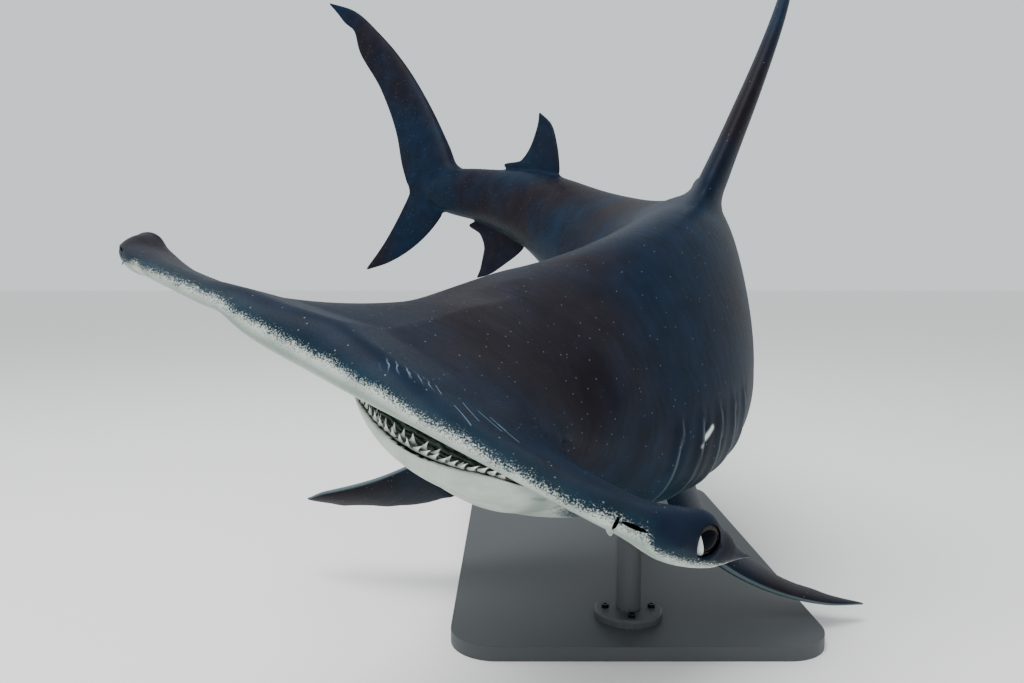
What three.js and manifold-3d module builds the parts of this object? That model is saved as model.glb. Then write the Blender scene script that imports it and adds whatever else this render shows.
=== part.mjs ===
import * as THREE from 'three';
import { mergeVertices } from 'three/addons/utils/BufferGeometryUtils.js';
import Module from 'manifold-3d';

const wasm = await Module();
wasm.setup();

// A great hammerhead shark, a life-size museum model that swims over a display stand.
// It is shaped on straight body axes, then bent along its spine: s runs from the snout to
// the tail, a to the shark's left and b to its back. All three are fractions of LENGTH.
const LENGTH = 3300;
const GAP = 0.3;
const GAP_SHARE = GAP / LENGTH;

// Head plate
const HEAD_HALF = 0.122;
const FRONT_CORNER = 0.895;
const REAR_CORNER_S = 0.0475;
const LINE_BOW = 0.004;
const NECK_S = 0.12;
const PLATE_END_S = 0.135;
const FAR_TWIST = 0.058;
const FAR_SHORTER = 0.022;

// Lengths that the body is parted in
const HEAD_END = 0.15;
const FRONT_END = 0.3;
const MIDDLE_END = 0.45;
const REAR_END = 0.6;
const STALK_END = 0.735;

// Mouth, eyes, gills
const PALATE_B = -0.0082;
const JAW_ROOT_S = 0.118;
const JAW_HALF = 0.07;
const LIP_THICK = 0.005;
const BOWL_DEPTH = 0.009;
const TEETH_A_ROW = 22;
const TOOTH_HEIGHT = 0.0046;
const TOOTH_WIDTH = 0.0042;
const EYE_S = 0.0292;
const EYE_RADIUS = 0.0053;
const EYE_FORWARD = 28;
const GILL_COUNT = 5;
const GILL_FIRST_S = 0.168;
const GILL_STEP = 0.0155;

// Pectoral fins: the far one steers forward, with its underside turned to the front
const PECTORAL_SPAN = 0.149;
const PECTORAL_ROOT = [0.222, 0.0387, -0.0453];
const PECTORAL_BENDS = {
  left: { down: 33, lean: -0.063, sag: 3.7, curl: 0.28, turn: 8.3, reach: 0.9 },
  right: { down: 22.4, lean: -0.35, sag: 5.2, curl: -0.19, turn: 51, reach: 1.02 },
};

// Stand, in millimetres
const BASE_WIDTH = 640;
const BASE_DEPTH = 980;
const BASE_THICK = 24;
const BASE_CORNER = 80;
const ROD_RADIUS = 22;
const COLLAR_RADIUS = 60;
const COLLAR_HEIGHT = 14;
const ROD_STATIONS = { stand_rod_front: 0.235, stand_rod_rear: 0.4 };

// Where the spine starts, above the middle of the stand's underside
const SNOUT = new THREE.Vector3(-0.1236, -0.3088, 0.1673);

const clamp = (x, low, high) => Math.min(Math.max(x, low), high);
const ease = (x) => { const t = clamp(x, 0, 1); return t * t * (3 - 2 * t); };
const radians = (degrees) => degrees * Math.PI / 180;

// A smooth curve through knots [x, y] that never overshoots them
function curve(...knots) {
  const slopes = knots.slice(1).map(([x, y], i) => (y - knots[i][1]) / (x - knots[i][0]));
  const tangents = knots.map((knot, i) => {
    if (i === 0) return slopes[0];
    if (i === slopes.length) return slopes[i - 1];
    const product = slopes[i - 1] * slopes[i];
    return product <= 0 ? 0 : 2 * product / (slopes[i - 1] + slopes[i]);
  });
  return (x) => {
    let i = 0;
    while (i < slopes.length - 1 && x > knots[i + 1][0]) i += 1;
    const [x0, y0] = knots[i];
    const [x1, y1] = knots[i + 1];
    const run = x1 - x0;
    const t = clamp((x - x0) / run, 0, 1);
    const rest = 1 - t;
    return y0 * rest * rest * (1 + 2 * t) + y1 * t * t * (3 - 2 * t)
      + tangents[i] * run * t * rest * rest - tangents[i + 1] * run * t * t * rest;
  };
}

// The bend of the body, in degrees along the spine
const heading = curve([0.08, 25.6], [0.16, 40], [0.26, 22], [0.36, 4], [0.46, -11],
  [0.56, -29], [0.66, -46], [0.76, -57], [1, -74]);
const climb = curve([0.08, -10.7], [0.16, 4], [0.26, 7], [0.36, 9], [0.46, 17],
  [0.56, 22], [0.66, 15], [0.76, 7], [1, 2]);
const bank = curve([0.08, 19.9], [0.16, 23.3], [0.36, 21], [0.46, 15], [0.56, 8],
  [0.66, 3], [0.76, 5], [1, 8]);

const SPINE_STEP = 0.002;
const SPINE_END = 1.1;

function spineAxes(s) {
  const [yaw, pitch, roll] = [heading(s), climb(s), bank(s)].map(radians);
  const tail = new THREE.Vector3(Math.sin(yaw) * Math.cos(pitch), Math.cos(yaw) * Math.cos(pitch), Math.sin(pitch));
  const flat = new THREE.Vector3(0, 0, 1).cross(tail).negate().normalize();
  const upright = flat.clone().cross(tail);
  const back = upright.clone().multiplyScalar(Math.cos(roll)).addScaledVector(flat, Math.sin(roll));
  const left = flat.clone().multiplyScalar(Math.cos(roll)).addScaledVector(upright, -Math.sin(roll));
  return { tail, left, back };
}

function buildSpine() {
  const points = [];
  const at = SNOUT.clone();
  for (let s = 0; s <= SPINE_END; s += SPINE_STEP) {
    points.push({ at: at.clone(), ...spineAxes(s) });
    at.addScaledVector(spineAxes(s + SPINE_STEP / 2).tail, SPINE_STEP);
  }
  return points;
}

const spine = buildSpine();

// Straight body axes to the bent body, in millimetres
function place(s, a, b) {
  const position = clamp(s / SPINE_STEP, 0, spine.length - 2);
  const i = Math.floor(position);
  const share = position - i;
  const blend = (key) => spine[i][key].clone().lerp(spine[i + 1][key], share);
  const point = blend('at').addScaledVector(blend('left'), a).addScaledVector(blend('back'), b);
  if (s < 0) point.addScaledVector(spine[0].tail, s);
  return point.multiplyScalar(LENGTH);
}

// Meshes and solids
function geometryOf(rings, closedEnds = true) {
  const count = rings[0].length;
  const positions = rings.flat().flatMap((p) => [p.x, p.y, p.z]);
  const index = [];
  for (let r = 0; r < rings.length - 1; r += 1) {
    for (let k = 0; k < count; k += 1) {
      const [p, q] = [r * count + k, r * count + (k + 1) % count];
      index.push(p, q, p + count, q, q + count, p + count);
    }
  }
  const cap = (r, flip) => {
    const centre = positions.length / 3;
    const middle = rings[r].reduce((sum, p) => sum.add(p), new THREE.Vector3()).divideScalar(count);
    positions.push(middle.x, middle.y, middle.z);
    for (let k = 0; k < count; k += 1) {
      const [p, q] = [r * count + k, r * count + (k + 1) % count];
      index.push(...(flip ? [centre, q, p] : [centre, p, q]));
    }
  };
  if (closedEnds === true || closedEnds === 'front') cap(0, true);
  if (closedEnds === true || closedEnds === 'rear') cap(rings.length - 1, false);
  const geometry = new THREE.BufferGeometry();
  geometry.setAttribute('position', new THREE.Float32BufferAttribute(positions, 3));
  geometry.setIndex(index);
  return geometry;
}

function solid(source) {
  const bare = source.clone();
  bare.deleteAttribute('normal');
  bare.deleteAttribute('uv');
  const merged = mergeVertices(bare, 1e-3);
  const corners = merged.index.array;
  const kept = [];
  for (let i = 0; i < corners.length; i += 3) {
    const [p, q, r] = corners.slice(i, i + 3);
    if (p !== q && q !== r && r !== p) kept.push(p, q, r);
  }
  const mesh = new wasm.Mesh({
    numProp: 3,
    vertProperties: new Float32Array(merged.attributes.position.array),
    triVerts: new Uint32Array(kept),
  });
  mesh.merge();
  const made = new wasm.Manifold(mesh);
  return made.volume() < 0 ? solidTurned(merged, kept) : made;
}

function solidTurned(merged, corners) {
  const turned = [];
  for (let i = 0; i < corners.length; i += 3) turned.push(corners[i], corners[i + 2], corners[i + 1]);
  return new wasm.Manifold(new wasm.Mesh({
    numProp: 3,
    vertProperties: new Float32Array(merged.attributes.position.array),
    triVerts: new Uint32Array(turned),
  }));
}

const loft = (rings, closedEnds) => solid(geometryOf(rings, closedEnds));
const largest = (body) => body.decompose().sort((p, q) => q.volume() - p.volume())[0];

function geometryFrom(body) {
  const { vertProperties, triVerts } = largest(body).getMesh();
  const geometry = new THREE.BufferGeometry();
  geometry.setAttribute('position', new THREE.Float32BufferAttribute(vertProperties, 3));
  geometry.setIndex(new THREE.BufferAttribute(triVerts, 1));
  return geometry;
}

// Outline of the head plate, with x the share of its half span
const frontMargin = curve([0, 0.0042], [0.08, 0.0031], [0.15, 0.0025], [0.35, 0.003], [0.55, 0.0047],
  [0.7, 0.0077], [0.8, 0.0123], [FRONT_CORNER, 0.0191], [1, 0.0272]);
const sideMargin = curve([0, FRONT_CORNER], [0.5, 0.964], [1, 1]);
const rearMargin = curve([0.3, 0.2], [0.36, 0.13], [0.4, 0.095], [0.42, 0.075], [0.5, 0.0575],
  [0.65, 0.0485], [0.8, 0.048], [0.93, 0.0478], [1, REAR_CORNER_S]);
const plateAbove = curve([0, 0.013], [0.2, 0.01], [0.35, 0.0063], [0.5, 0.0047], [0.65, 0.0041],
  [0.78, 0.0046], [0.86, 0.0073], [0.94, 0.0087], [1, 0.006]);
const plateBelow = curve([0, 0.0046], [0.2, 0.0038], [0.35, 0.0035], [0.5, 0.0036], [0.65, 0.0042],
  [0.78, 0.0052], [0.86, 0.0074], [0.94, 0.0074], [1, 0.0049]);
const EDGE_ABOVE = 0.0104;
const EDGE_BELOW = 0.0139;
const SIDE_ROUND = 0.9;

function plateShare(s, x, v, onSide, upward) {
  const lead = clamp((s - frontMargin(x)) / (upward ? EDGE_ABOVE : EDGE_BELOW), 0, 1);
  const chord = (s - frontMargin(x)) / (rearMargin(x) - frontMargin(x));
  const thinning = 1 - 0.84 * ease((chord - 0.35) / 0.65);
  const start = onSide ? SIDE_ROUND : 0.97;
  const edge = clamp((Math.abs(v) - start) / (1 - start), 0, 1);
  const fade = 1 - ease((s - 0.085) / (PLATE_END_S - 0.085));
  return Math.sqrt(1 - (1 - lead) ** 2) * thinning * Math.sqrt(1 - edge ** 2) * fade;
}

// Trunk: half width, back, belly; and how broad and how domed they are on the head
const trunkHalf = curve([0.078, 0.0512], [0.12, 0.0567], [0.15, 0.0605], [0.2, 0.064], [0.27, 0.0624],
  [0.33, 0.0574], [0.4, 0.0532], [0.48, 0.0475], [0.56, 0.0403], [0.63, 0.032], [0.69, 0.0225], [0.733, 0.0185]);
const backRise = curve([0, 0], [0.02, 0.0086], [0.04, 0.0148], [0.06, 0.021], [0.08, 0.0285], [0.1, 0.034],
  [0.15, 0.0448], [0.2, 0.0595], [0.27, 0.0725], [0.33, 0.0765], [0.4, 0.066], [0.48, 0.0535], [0.56, 0.042],
  [0.63, 0.036], [0.69, 0.028], [0.733, 0.0245]);
const bellyDrop = curve([0.07, 0], [0.0715, 0.02], [0.0755, 0.0286], [0.0835, 0.0364], [0.1, 0.044],
  [0.12, 0.0545], [0.15, 0.0615], [0.2, 0.0597], [0.27, 0.06], [0.33, 0.06], [0.4, 0.058], [0.48, 0.052],
  [0.56, 0.043], [0.63, 0.034], [0.69, 0.0265], [0.733, 0.0245]);
const backBreadth = curve([0, 0.1], [0.03, 0.084], [0.06, 0.0587], [0.09, 0.0545], [NECK_S, 0.0567]);
const jawBreadth = curve([0.07, 0.004], [0.0725, 0.0245], [0.0755, 0.0335], [0.0815, 0.044], [0.0895, 0.0515],
  [0.105, 0.0558], [NECK_S, 0.0567]);
const backDome = curve([0.04, 1.5], [NECK_S, 0.5]);
const pear = curve([NECK_S, 0], [0.2, 0.46], [0.27, 0.45], [0.35, 0.38], [0.45, 0.2], [0.6, 0.05], [0.7, 0]);

// One line across the body: a front line of the head, a line on the rear margin, or a trunk section
function frontLine(t) {
  return {
    half: HEAD_HALF * sideMargin(t), onSide: true,
    s: (v) => frontMargin(Math.abs(v) * FRONT_CORNER) * (1 - t) + (REAR_CORNER_S + LINE_BOW * (1 - v * v)) * t,
  };
}
function rearLine(x) {
  const bow = LINE_BOW * (1 - ease((rearMargin(x) - REAR_CORNER_S) / (NECK_S - REAR_CORNER_S)));
  return { half: HEAD_HALF * x, s: (v) => rearMargin(x) + bow * (1 - v * v) };
}
function trunkLine(s) {
  const bow = LINE_BOW * (1 - ease((s - REAR_CORNER_S) / (NECK_S - REAR_CORNER_S)));
  return { half: trunkHalf(s), s: (v) => s + bow * (1 - v * v) };
}

// The far half of the head is twisted a little, front edge up, and is a little shorter
function farLift(s, x) {
  const middle = (frontMargin(x) + rearMargin(x)) / 2;
  return FAR_TWIST * ease((x - 0.15) / 0.35) * (1 - ease((s - 0.06) / 0.03)) * (middle - s);
}

// One point of the skin at an angle round the line: left side at 0, back at a quarter turn
function skinPoint(line, angle, grow = 0) {
  const v = Math.cos(angle);
  const s = line.s(v);
  const a = line.half * v;
  const x = Math.abs(a) / HEAD_HALF;
  const upward = Math.sin(angle) > 0;
  const share = plateShare(s, x, v, line.onSide, upward);
  const plate = (upward ? plateAbove(x) : plateBelow(x)) * share;
  const middle = (upward ? plateAbove(0) : plateBelow(0)) * (1 - ease((s - 0.085) / (PLATE_END_S - 0.085)));
  const breadth = s < NECK_S ? Math.min(upward ? backBreadth(s) : jawBreadth(s), line.half) : line.half;
  const dome = upward ? backDome(s) : 0.5;
  const bump = Math.max((upward ? backRise(s) : bellyDrop(s)) - middle, 0)
    * Math.max(1 - (a / breadth) ** 2, 0) ** dome;
  const across = a * (1 - pear(s) * Math.sin(angle));
  const height = Math.sin(angle) === 0 ? 0 : (plate + bump) * (upward ? 1 : -1);
  const onFar = a < 0 && s < NECK_S;
  const b = height + (onFar ? farLift(s, x) : 0);
  const shorter = onFar ? 1 - FAR_SHORTER * ease((x - 0.6) / 0.4) : 1;
  return place(s, across * shorter + grow * Math.cos(angle), b + grow * Math.sin(angle));
}

const AROUND = 44;
const FRONT_LINES = 8;
const REAR_SHARES = [0.975, 0.94, 0.88, 0.81, 0.73, 0.65, 0.58, 0.52, 0.475, 0.455, 0.44];

function ringOf(line, grow) {
  return Array.from({ length: AROUND }, (unused, k) => skinPoint(line, (k / AROUND) * 2 * Math.PI, grow));
}

function headLines() {
  const front = Array.from({ length: FRONT_LINES + 1 }, (unused, k) =>
    frontLine(1 - Math.cos((k / FRONT_LINES) * Math.PI / 2)));
  return [...front, ...REAR_SHARES.map(rearLine)];
}

const TRUNK_STEP = 0.015;
function trunkLines(from, to, step = TRUNK_STEP) {
  const count = Math.ceil((to - from) / step - 1e-6);
  return Array.from({ length: count + 1 }, (unused, k) => trunkLine(from + (to - from) * k / count));
}

// The gap at each end of a length leaves its other sections where the whole trunk has them
function trunkLength(from, to) {
  const half = GAP_SHARE / 2;
  const lines = trunkLines(from, to);
  const ends = [trunkLine(from + half), trunkLine(to - half)];
  return loft([ends[0], ...lines.slice(1, -1), ends[1]].map((line) => ringOf(line)));
}

const wholeTrunk = (grow) => loft(trunkLines(HEAD_END - TRUNK_STEP, STALK_END).map((line) => ringOf(line, grow)));

const headSolid = () => loft([
  ...headLines().map((line) => ringOf(line)),
  ...trunkLines(0.0735, HEAD_END - GAP_SHARE / 2, 0.0058).map((line) => ringOf(line)),
], 'rear');

// A box on the body axes, bent with the body; low and high give b across it
function bentSlab(from, to, steps, half, low, high) {
  const rings = [];
  for (let k = 0; k <= steps; k += 1) {
    const s = from + (to - from) * k / steps;
    const across = Array.from({ length: 13 }, (unused, j) => half * (1 - j / 6));
    rings.push([...across.map((a) => place(s, a, high(s, a))),
      ...across.reverse().map((a) => place(s, a, low(s, a)))]);
  }
  return loft(rings);
}

// Mouth: the rim of the lower lip, the hollow over it, and the line that the teeth stand on
const lipRise = curve([0.07, -0.033], [0.0755, -0.0285], [0.082, -0.0228], [0.096, -0.021], [0.108, -0.017],
  [0.115, -0.0105]);

function lipHalf(s) {
  const drop = clamp(-lipRise(s) / bellyDrop(s), 0, 1);
  return jawBreadth(s) * Math.sqrt(1 - drop * drop);
}

function mouthFloor(s, a) {
  const inner = Math.max(lipHalf(clamp(s, 0.0765, 0.112)) - LIP_THICK, 0.004);
  const bowl = ease((s - 0.076) / 0.012) * BOWL_DEPTH * Math.max(1 - (a / inner) ** 2, 0) ** 0.5;
  return lipRise(s) - bowl;
}

const mouthHollow = () => bentSlab(0.06, JAW_ROOT_S, 22, JAW_HALF,
  (s, a) => Math.min(mouthFloor(s, a), PALATE_B - 0.0004), () => PALATE_B);
const jawZone = (gap) => bentSlab(0.06, JAW_ROOT_S - gap, 8, JAW_HALF - gap,
  () => -0.12, () => PALATE_B + GAP_SHARE - gap);

// Teeth stand at even steps along the lip, inside it, and lean back
function lipLine(inset) {
  const side = [];
  for (let s = 0.0757; s < 0.109; s += 0.0004) side.push(new THREE.Vector2(Math.max(lipHalf(s) - inset, 0), s + inset));
  const whole = [...side.slice(1).reverse().map((p) => new THREE.Vector2(-p.x, p.y)), ...side];
  return whole.filter((p, i) => i === 0 || p.distanceTo(whole[i - 1]) > 1e-5);
}

function alongLine(line, count) {
  const reach = line.slice(1).map((p, i) => p.distanceTo(line[i]));
  const total = reach.reduce((sum, d) => sum + d, 0);
  return Array.from({ length: count }, (unused, k) => {
    let rest = total * (k + 0.5) / count;
    let i = 0;
    while (i < reach.length - 1 && rest > reach[i]) { rest -= reach[i]; i += 1; }
    const at = line[i].clone().lerp(line[i + 1], clamp(rest / reach[i], 0, 1));
    return { at, along: line[i + 1].clone().sub(line[i]).normalize() };
  });
}

function tooth(a, s, b, along, upward, size) {
  const half = TOOTH_WIDTH / 2 * size;
  const root = -0.0022 * upward;
  const inward = new THREE.Vector2(-along.y, along.x);
  if (inward.y < 0) inward.negate();
  const corner = (u, w, rise) => place(s + along.y * u + inward.y * w, a + along.x * u + inward.x * w, b + rise);
  const foot = [[-half, 0], [0, -0.0011], [half, 0], [0, 0.0011]].map(([u, w]) => corner(u, w, root));
  const waist = [[-half * 0.5, 0.0006], [0, 0.0001], [half * 0.5, 0.0006], [0, 0.0013]]
    .map(([u, w]) => corner(u, w, upward * TOOTH_HEIGHT * size * 0.4));
  const tip = corner(0, 0.0022, upward * TOOTH_HEIGHT * size);
  return loft([foot, waist, foot.map(() => tip)], 'front');
}

function teethRow(inset, rise, upward, count) {
  return alongLine(lipLine(inset), count).map(({ at, along }, k) => {
    const size = 1 - 0.35 * Math.abs((2 * k + 1) / count - 1) ** 2;
    const b = upward > 0 ? lipRise(at.y - inset) + rise : PALATE_B;
    return tooth(at.x, at.y, b, along, upward, size);
  });
}

// Eyes: a ball in each end of the head, and a lid round it
function eyeCentre(side) {
  const half = HEAD_HALF * sideMargin((EYE_S - 0.019) / (REAR_CORNER_S - 0.019)) * (side < 0 ? 1 - FAR_SHORTER : 1);
  return place(EYE_S + 0.0012, side * (half - 0.0036), 0.0012);
}

function eyeAxis(side) {
  const { tail, left } = spine[0];
  const turn = radians(EYE_FORWARD);
  return left.clone().multiplyScalar(side * Math.cos(turn)).addScaledVector(tail, -Math.sin(turn));
}

function eyeball(side, grow = 0) {
  const ball = new THREE.SphereGeometry(EYE_RADIUS * LENGTH + grow, 16, 11);
  ball.translate(...eyeCentre(side).toArray());
  return solid(ball);
}

function lid(side) {
  const ring = new THREE.TorusGeometry(0.0049 * LENGTH, 0.0013 * LENGTH, 6, 20);
  const turn = new THREE.Quaternion().setFromUnitVectors(new THREE.Vector3(0, 0, 1), eyeAxis(side));
  ring.applyQuaternion(turn);
  const centre = eyeCentre(side).addScaledVector(eyeAxis(side), 0.0024 * LENGTH);
  ring.translate(...centre.toArray());
  return solid(ring);
}

// Nostril: a slit through the front edge beside each eye
function nostril(side) {
  const rings = [0.74, 0.78, 0.82, 0.85].map((x) => {
    const a = side * x * HEAD_HALF;
    const s = frontMargin(x);
    return [[-0.004, -0.0022], [0.0045, -0.0036], [0.0045, -0.0016], [-0.004, 0.0002]]
      .map(([ds, b]) => place(s + ds, a, b));
  });
  return loft(rings);
}

// Gill slits: five shallow cuts on each side, above and before the pectoral fins
function gillSlit(side, n) {
  const s = GILL_FIRST_S + n * GILL_STEP;
  const half = trunkHalf(s);
  const drop = 0.75 * bellyDrop(s);
  const rings = Array.from({ length: 6 }, (unused, k) => {
    const angle = radians(-52 + 60 * k / 5);
    const out = [half * Math.cos(angle) * (1 - pear(s) * Math.sin(angle)), drop * Math.sin(angle) / 0.75];
    const depth = 0.0028 * Math.sin(Math.PI * (k + 0.6) / 6.2);
    const slant = 0.006 * k / 5;
    return [[-0.001, -depth], [0.001, -depth], [0.0016, 0.004], [-0.0004, 0.004]]
      .map(([ds, lift]) => place(s + ds + slant, side * out[0] * (1 + lift / half), out[1] * (1 + lift / half)));
  });
  return loft(rings);
}

// Fins: sections from the front edge to the rear edge, from the sunk root (q = 0) to the tip
const FIN_SECTIONS = 12;
const FIN_SIDES = 7;

function finSolid({ front, rear, thick, put }) {
  const rings = [];
  for (let k = 0; k <= FIN_SECTIONS; k += 1) {
    const q = k / FIN_SECTIONS;
    const [from, to, half] = [front(q), rear(q), thick(q)];
    const ring = [];
    for (let j = 0; j < 2 * FIN_SIDES; j += 1) {
      const turn = (j / FIN_SIDES) * Math.PI;
      const chord = (1 - Math.cos(turn)) / 2;
      const depth = half * Math.sin(turn) * (1.35 - 0.8 * chord);
      ring.push(put(from[0] + (to[0] - from[0]) * chord, from[1] + (to[1] - from[1]) * chord, depth));
    }
    rings.push(ring);
  }
  return loft(rings);
}

const edge = (...knots) => {
  const along = curve(...knots.map(([q, x]) => [q, x]));
  const out = curve(...knots.map(([q, x, y]) => [q, y]));
  return (q) => [along(q), out(q)];
};

const medianPut = (s, b, depth) => place(s, depth, b);

const firstDorsal = {
  front: edge([0, 0.258, 0.045], [0.15, 0.271, 0.072], [0.35, 0.29, 0.106], [0.5, 0.305, 0.137],
    [0.65, 0.321, 0.165], [0.8, 0.343, 0.196], [0.92, 0.371, 0.222], [1, 0.3985, 0.2355]),
  rear: edge([0, 0.352, 0.045], [0.12, 0.386, 0.08], [0.2, 0.366, 0.09], [0.35, 0.351, 0.113],
    [0.5, 0.347, 0.137], [0.65, 0.351, 0.163], [0.8, 0.362, 0.191], [0.92, 0.381, 0.218], [1, 0.4, 0.235]),
  thick: curve([0, 0.016], [0.1, 0.0115], [0.2, 0.0082], [0.5, 0.0056], [0.85, 0.003], [1, 0.0007]),
  put: medianPut,
};

const secondDorsal = {
  front: edge([0, 0.598, 0.02], [0.25, 0.608, 0.043], [0.55, 0.621, 0.066], [0.8, 0.634, 0.082], [1, 0.6495, 0.0895]),
  rear: edge([0, 0.65, 0.018], [0.2, 0.681, 0.034], [0.35, 0.66, 0.042], [0.6, 0.651, 0.062],
    [0.8, 0.6495, 0.078], [1, 0.651, 0.089]),
  thick: curve([0, 0.0045], [0.3, 0.003], [0.8, 0.0014], [1, 0.0005]),
  put: medianPut,
};

const analFin = {
  front: edge([0, 0.616, -0.018], [0.25, 0.63, -0.042], [0.55, 0.65, -0.061], [0.8, 0.669, -0.076],
    [1, 0.685, -0.083]),
  rear: edge([0, 0.682, -0.015], [0.2, 0.712, -0.032], [0.35, 0.694, -0.039], [0.6, 0.684, -0.055],
    [0.8, 0.684, -0.071], [1, 0.6865, -0.0825]),
  thick: curve([0, 0.0045], [0.3, 0.003], [0.8, 0.0014], [1, 0.0005]),
  put: medianPut,
};

const LOBE_ROOT_S = STALK_END + GAP_SHARE / 2;
const upperLobe = {
  front: edge([0, LOBE_ROOT_S, 0.0225], [0.12, 0.7555, 0.047], [0.3, 0.789, 0.0915], [0.5, 0.8265, 0.1355],
    [0.7, 0.865, 0.1725], [0.88, 0.904, 0.203], [1, 0.9345, 0.214]),
  rear: edge([0, LOBE_ROOT_S, -0.0225], [0.12, 0.79, -0.012], [0.25, 0.812, 0.018], [0.4, 0.828, 0.06],
    [0.58, 0.856, 0.11], [0.76, 0.89, 0.155], [0.86, 0.9, 0.179], [0.9, 0.917, 0.184], [1, 0.937, 0.211]),
  thick: curve([0, 0.014], [0.12, 0.0095], [0.35, 0.006], [0.7, 0.0035], [1, 0.0006]),
  put: medianPut,
};

const lowerLobe = {
  front: edge([0, 0.742, -0.006], [0.2, 0.757, -0.034], [0.5, 0.783, -0.062], [0.8, 0.818, -0.084], [1, 0.8445, -0.0935]),
  rear: edge([0, 0.798, 0.014], [0.2, 0.8005, -0.006], [0.4, 0.808, -0.026], [0.7, 0.826, -0.062],
    [1, 0.8465, -0.0925]),
  thick: curve([0, 0.0022], [0.25, 0.0038], [0.5, 0.003], [0.8, 0.002], [1, 0.0005]),
  put: medianPut,
};

// Paired fins: x runs along the root and y out along the span. In their own frame they lean
// along the body, sag between root and tip, curl up at the tip, and turn about the span.
function pairedPut(side, root, bend) {
  const { down, lean, sag, curl, turn, reach } = bend;
  const origin = place(root[0], side * root[1], root[2]);
  const { tail, left, back } = spine[Math.round((root[0] + 0.03) / SPINE_STEP)];
  const out = left.clone().multiplyScalar(side * Math.cos(radians(down)));
  out.addScaledVector(back, -Math.sin(radians(down)));
  const face = tail.clone().cross(out).normalize().multiplyScalar(-side);
  return (x, span, depth) => {
    const y = span * reach;
    const past = Math.max(y, 0);
    const angle = radians(turn) * clamp(past / 0.06, 0, 1);
    const along = x * Math.cos(angle) + lean * past + depth * Math.sin(angle);
    const far = PECTORAL_SPAN * reach;
    const bow = curl * past * past / far - sag * past * (far - past);
    const lift = depth * Math.cos(angle) - x * Math.sin(angle) + bow;
    return origin.clone()
      .addScaledVector(tail, along * LENGTH)
      .addScaledVector(out, y * LENGTH)
      .addScaledVector(face, lift * LENGTH);
  };
}

const pectoral = (side, bend) => ({
  front: edge([0, -0.004, -0.03], [0.18, 0, 0.006], [0.45, 0.008, 0.054], [0.7, 0.026, 0.1],
    [0.88, 0.046, 0.132], [1, 0.064, PECTORAL_SPAN]),
  rear: edge([0, 0.054, -0.03], [0.18, 0.072, 0.012], [0.3, 0.064, 0.032], [0.5, 0.055, 0.066],
    [0.72, 0.055, 0.104], [0.88, 0.061, 0.133], [1, 0.066, PECTORAL_SPAN - 0.001]),
  thick: curve([0, 0.009], [0.2, 0.0064], [0.6, 0.004], [0.9, 0.002], [1, 0.0006]),
  put: pairedPut(side, PECTORAL_ROOT, bend),
});

const pelvic = (side) => ({
  front: edge([0, -0.004, -0.022], [0.3, 0.004, 0.006], [0.65, 0.021, 0.03], [1, 0.04, 0.044]),
  rear: edge([0, 0.044, -0.022], [0.25, 0.066, 0.006], [0.5, 0.052, 0.02], [0.75, 0.044, 0.034], [1, 0.0415, 0.0435]),
  thick: curve([0, 0.0045], [0.4, 0.003], [0.85, 0.0014], [1, 0.0005]),
  put: pairedPut(side, [0.478, 0.034, -0.036], { down: 44, lean: 0, sag: 0, curl: 0, turn: 0, reach: 1 }),
});

// Stand
function baseGeometry() {
  const [x, y, r] = [BASE_WIDTH / 2, BASE_DEPTH / 2, BASE_CORNER];
  const outline = new THREE.Shape();
  outline.moveTo(-x + r, -y);
  outline.lineTo(x - r, -y);
  outline.absarc(x - r, -y + r, r, -Math.PI / 2, 0);
  outline.lineTo(x, y - r);
  outline.absarc(x - r, y - r, r, 0, Math.PI / 2);
  outline.lineTo(-x + r, y);
  outline.absarc(-x + r, y - r, r, Math.PI / 2, Math.PI);
  outline.lineTo(-x, -y + r);
  outline.absarc(-x + r, -y + r, r, Math.PI, 1.5 * Math.PI);
  return new THREE.ExtrudeGeometry(outline, { depth: BASE_THICK, bevelEnabled: false, curveSegments: 10 });
}

function rodSolid(s) {
  const centre = place(s, 0, 0);
  const foot = BASE_THICK + GAP;
  const profile = [[0, foot], [COLLAR_RADIUS, foot], [COLLAR_RADIUS, foot + COLLAR_HEIGHT - 4],
    [COLLAR_RADIUS - 4, foot + COLLAR_HEIGHT], [ROD_RADIUS, foot + COLLAR_HEIGHT], [ROD_RADIUS, centre.z], [0, centre.z]]
    .map(([radius, height]) => new THREE.Vector2(radius, height));
  const rod = new THREE.LatheGeometry(profile, 28);
  rod.rotateX(Math.PI / 2);
  rod.translate(centre.x, centre.y, 0);
  return solid(rod);
}

// Assembly
const model = new THREE.Group();
const finish = (color, roughness, metalness = 0) => new THREE.MeshStandardMaterial({ color, roughness, metalness });
const hide = finish(0x39434c, 0.5);
const throatHide = finish(0xcfd0c8, 0.5);
const gloss = finish(0x0b0d12, 0.08);
const steel = finish(0x2b2d30, 0.45, 0.6);

function add(name, body, material) {
  const mesh = new THREE.Mesh(geometryFrom(body), material);
  mesh.name = name;
  model.add(mesh);
}

const SIDES = { left: 1, right: -1 };
const union = (body, parts) => parts.reduce((sum, part) => sum.add(part), body);
const minus = (body, parts) => parts.reduce((rest, part) => rest.subtract(part), body);
const sides = Object.values(SIDES);

const fullHead = headSolid();
const hollow = mouthHollow();
const bareHead = minus(fullHead, [hollow, jawZone(0), ...sides.map(nostril)]);
const upperTeeth = [...teethRow(0.007, 0, -1, TEETH_A_ROW)];
const lidded = minus(union(largest(bareHead), sides.map(lid)), sides.map((side) => eyeball(side, GAP)));
add('head', union(lidded, upperTeeth), hide);

const bareJaw = largest(minus(fullHead.intersect(jawZone(GAP_SHARE)), [hollow]));
add('lower_jaw', union(bareJaw, [...teethRow(0.0045, -0.0002, 1, TEETH_A_ROW),
  ...teethRow(0.0095, -0.003, 1, TEETH_A_ROW - 4)]), throatHide);

Object.entries(SIDES).forEach(([name, side]) => add(`eye_${name}`, eyeball(side), gloss));

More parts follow.
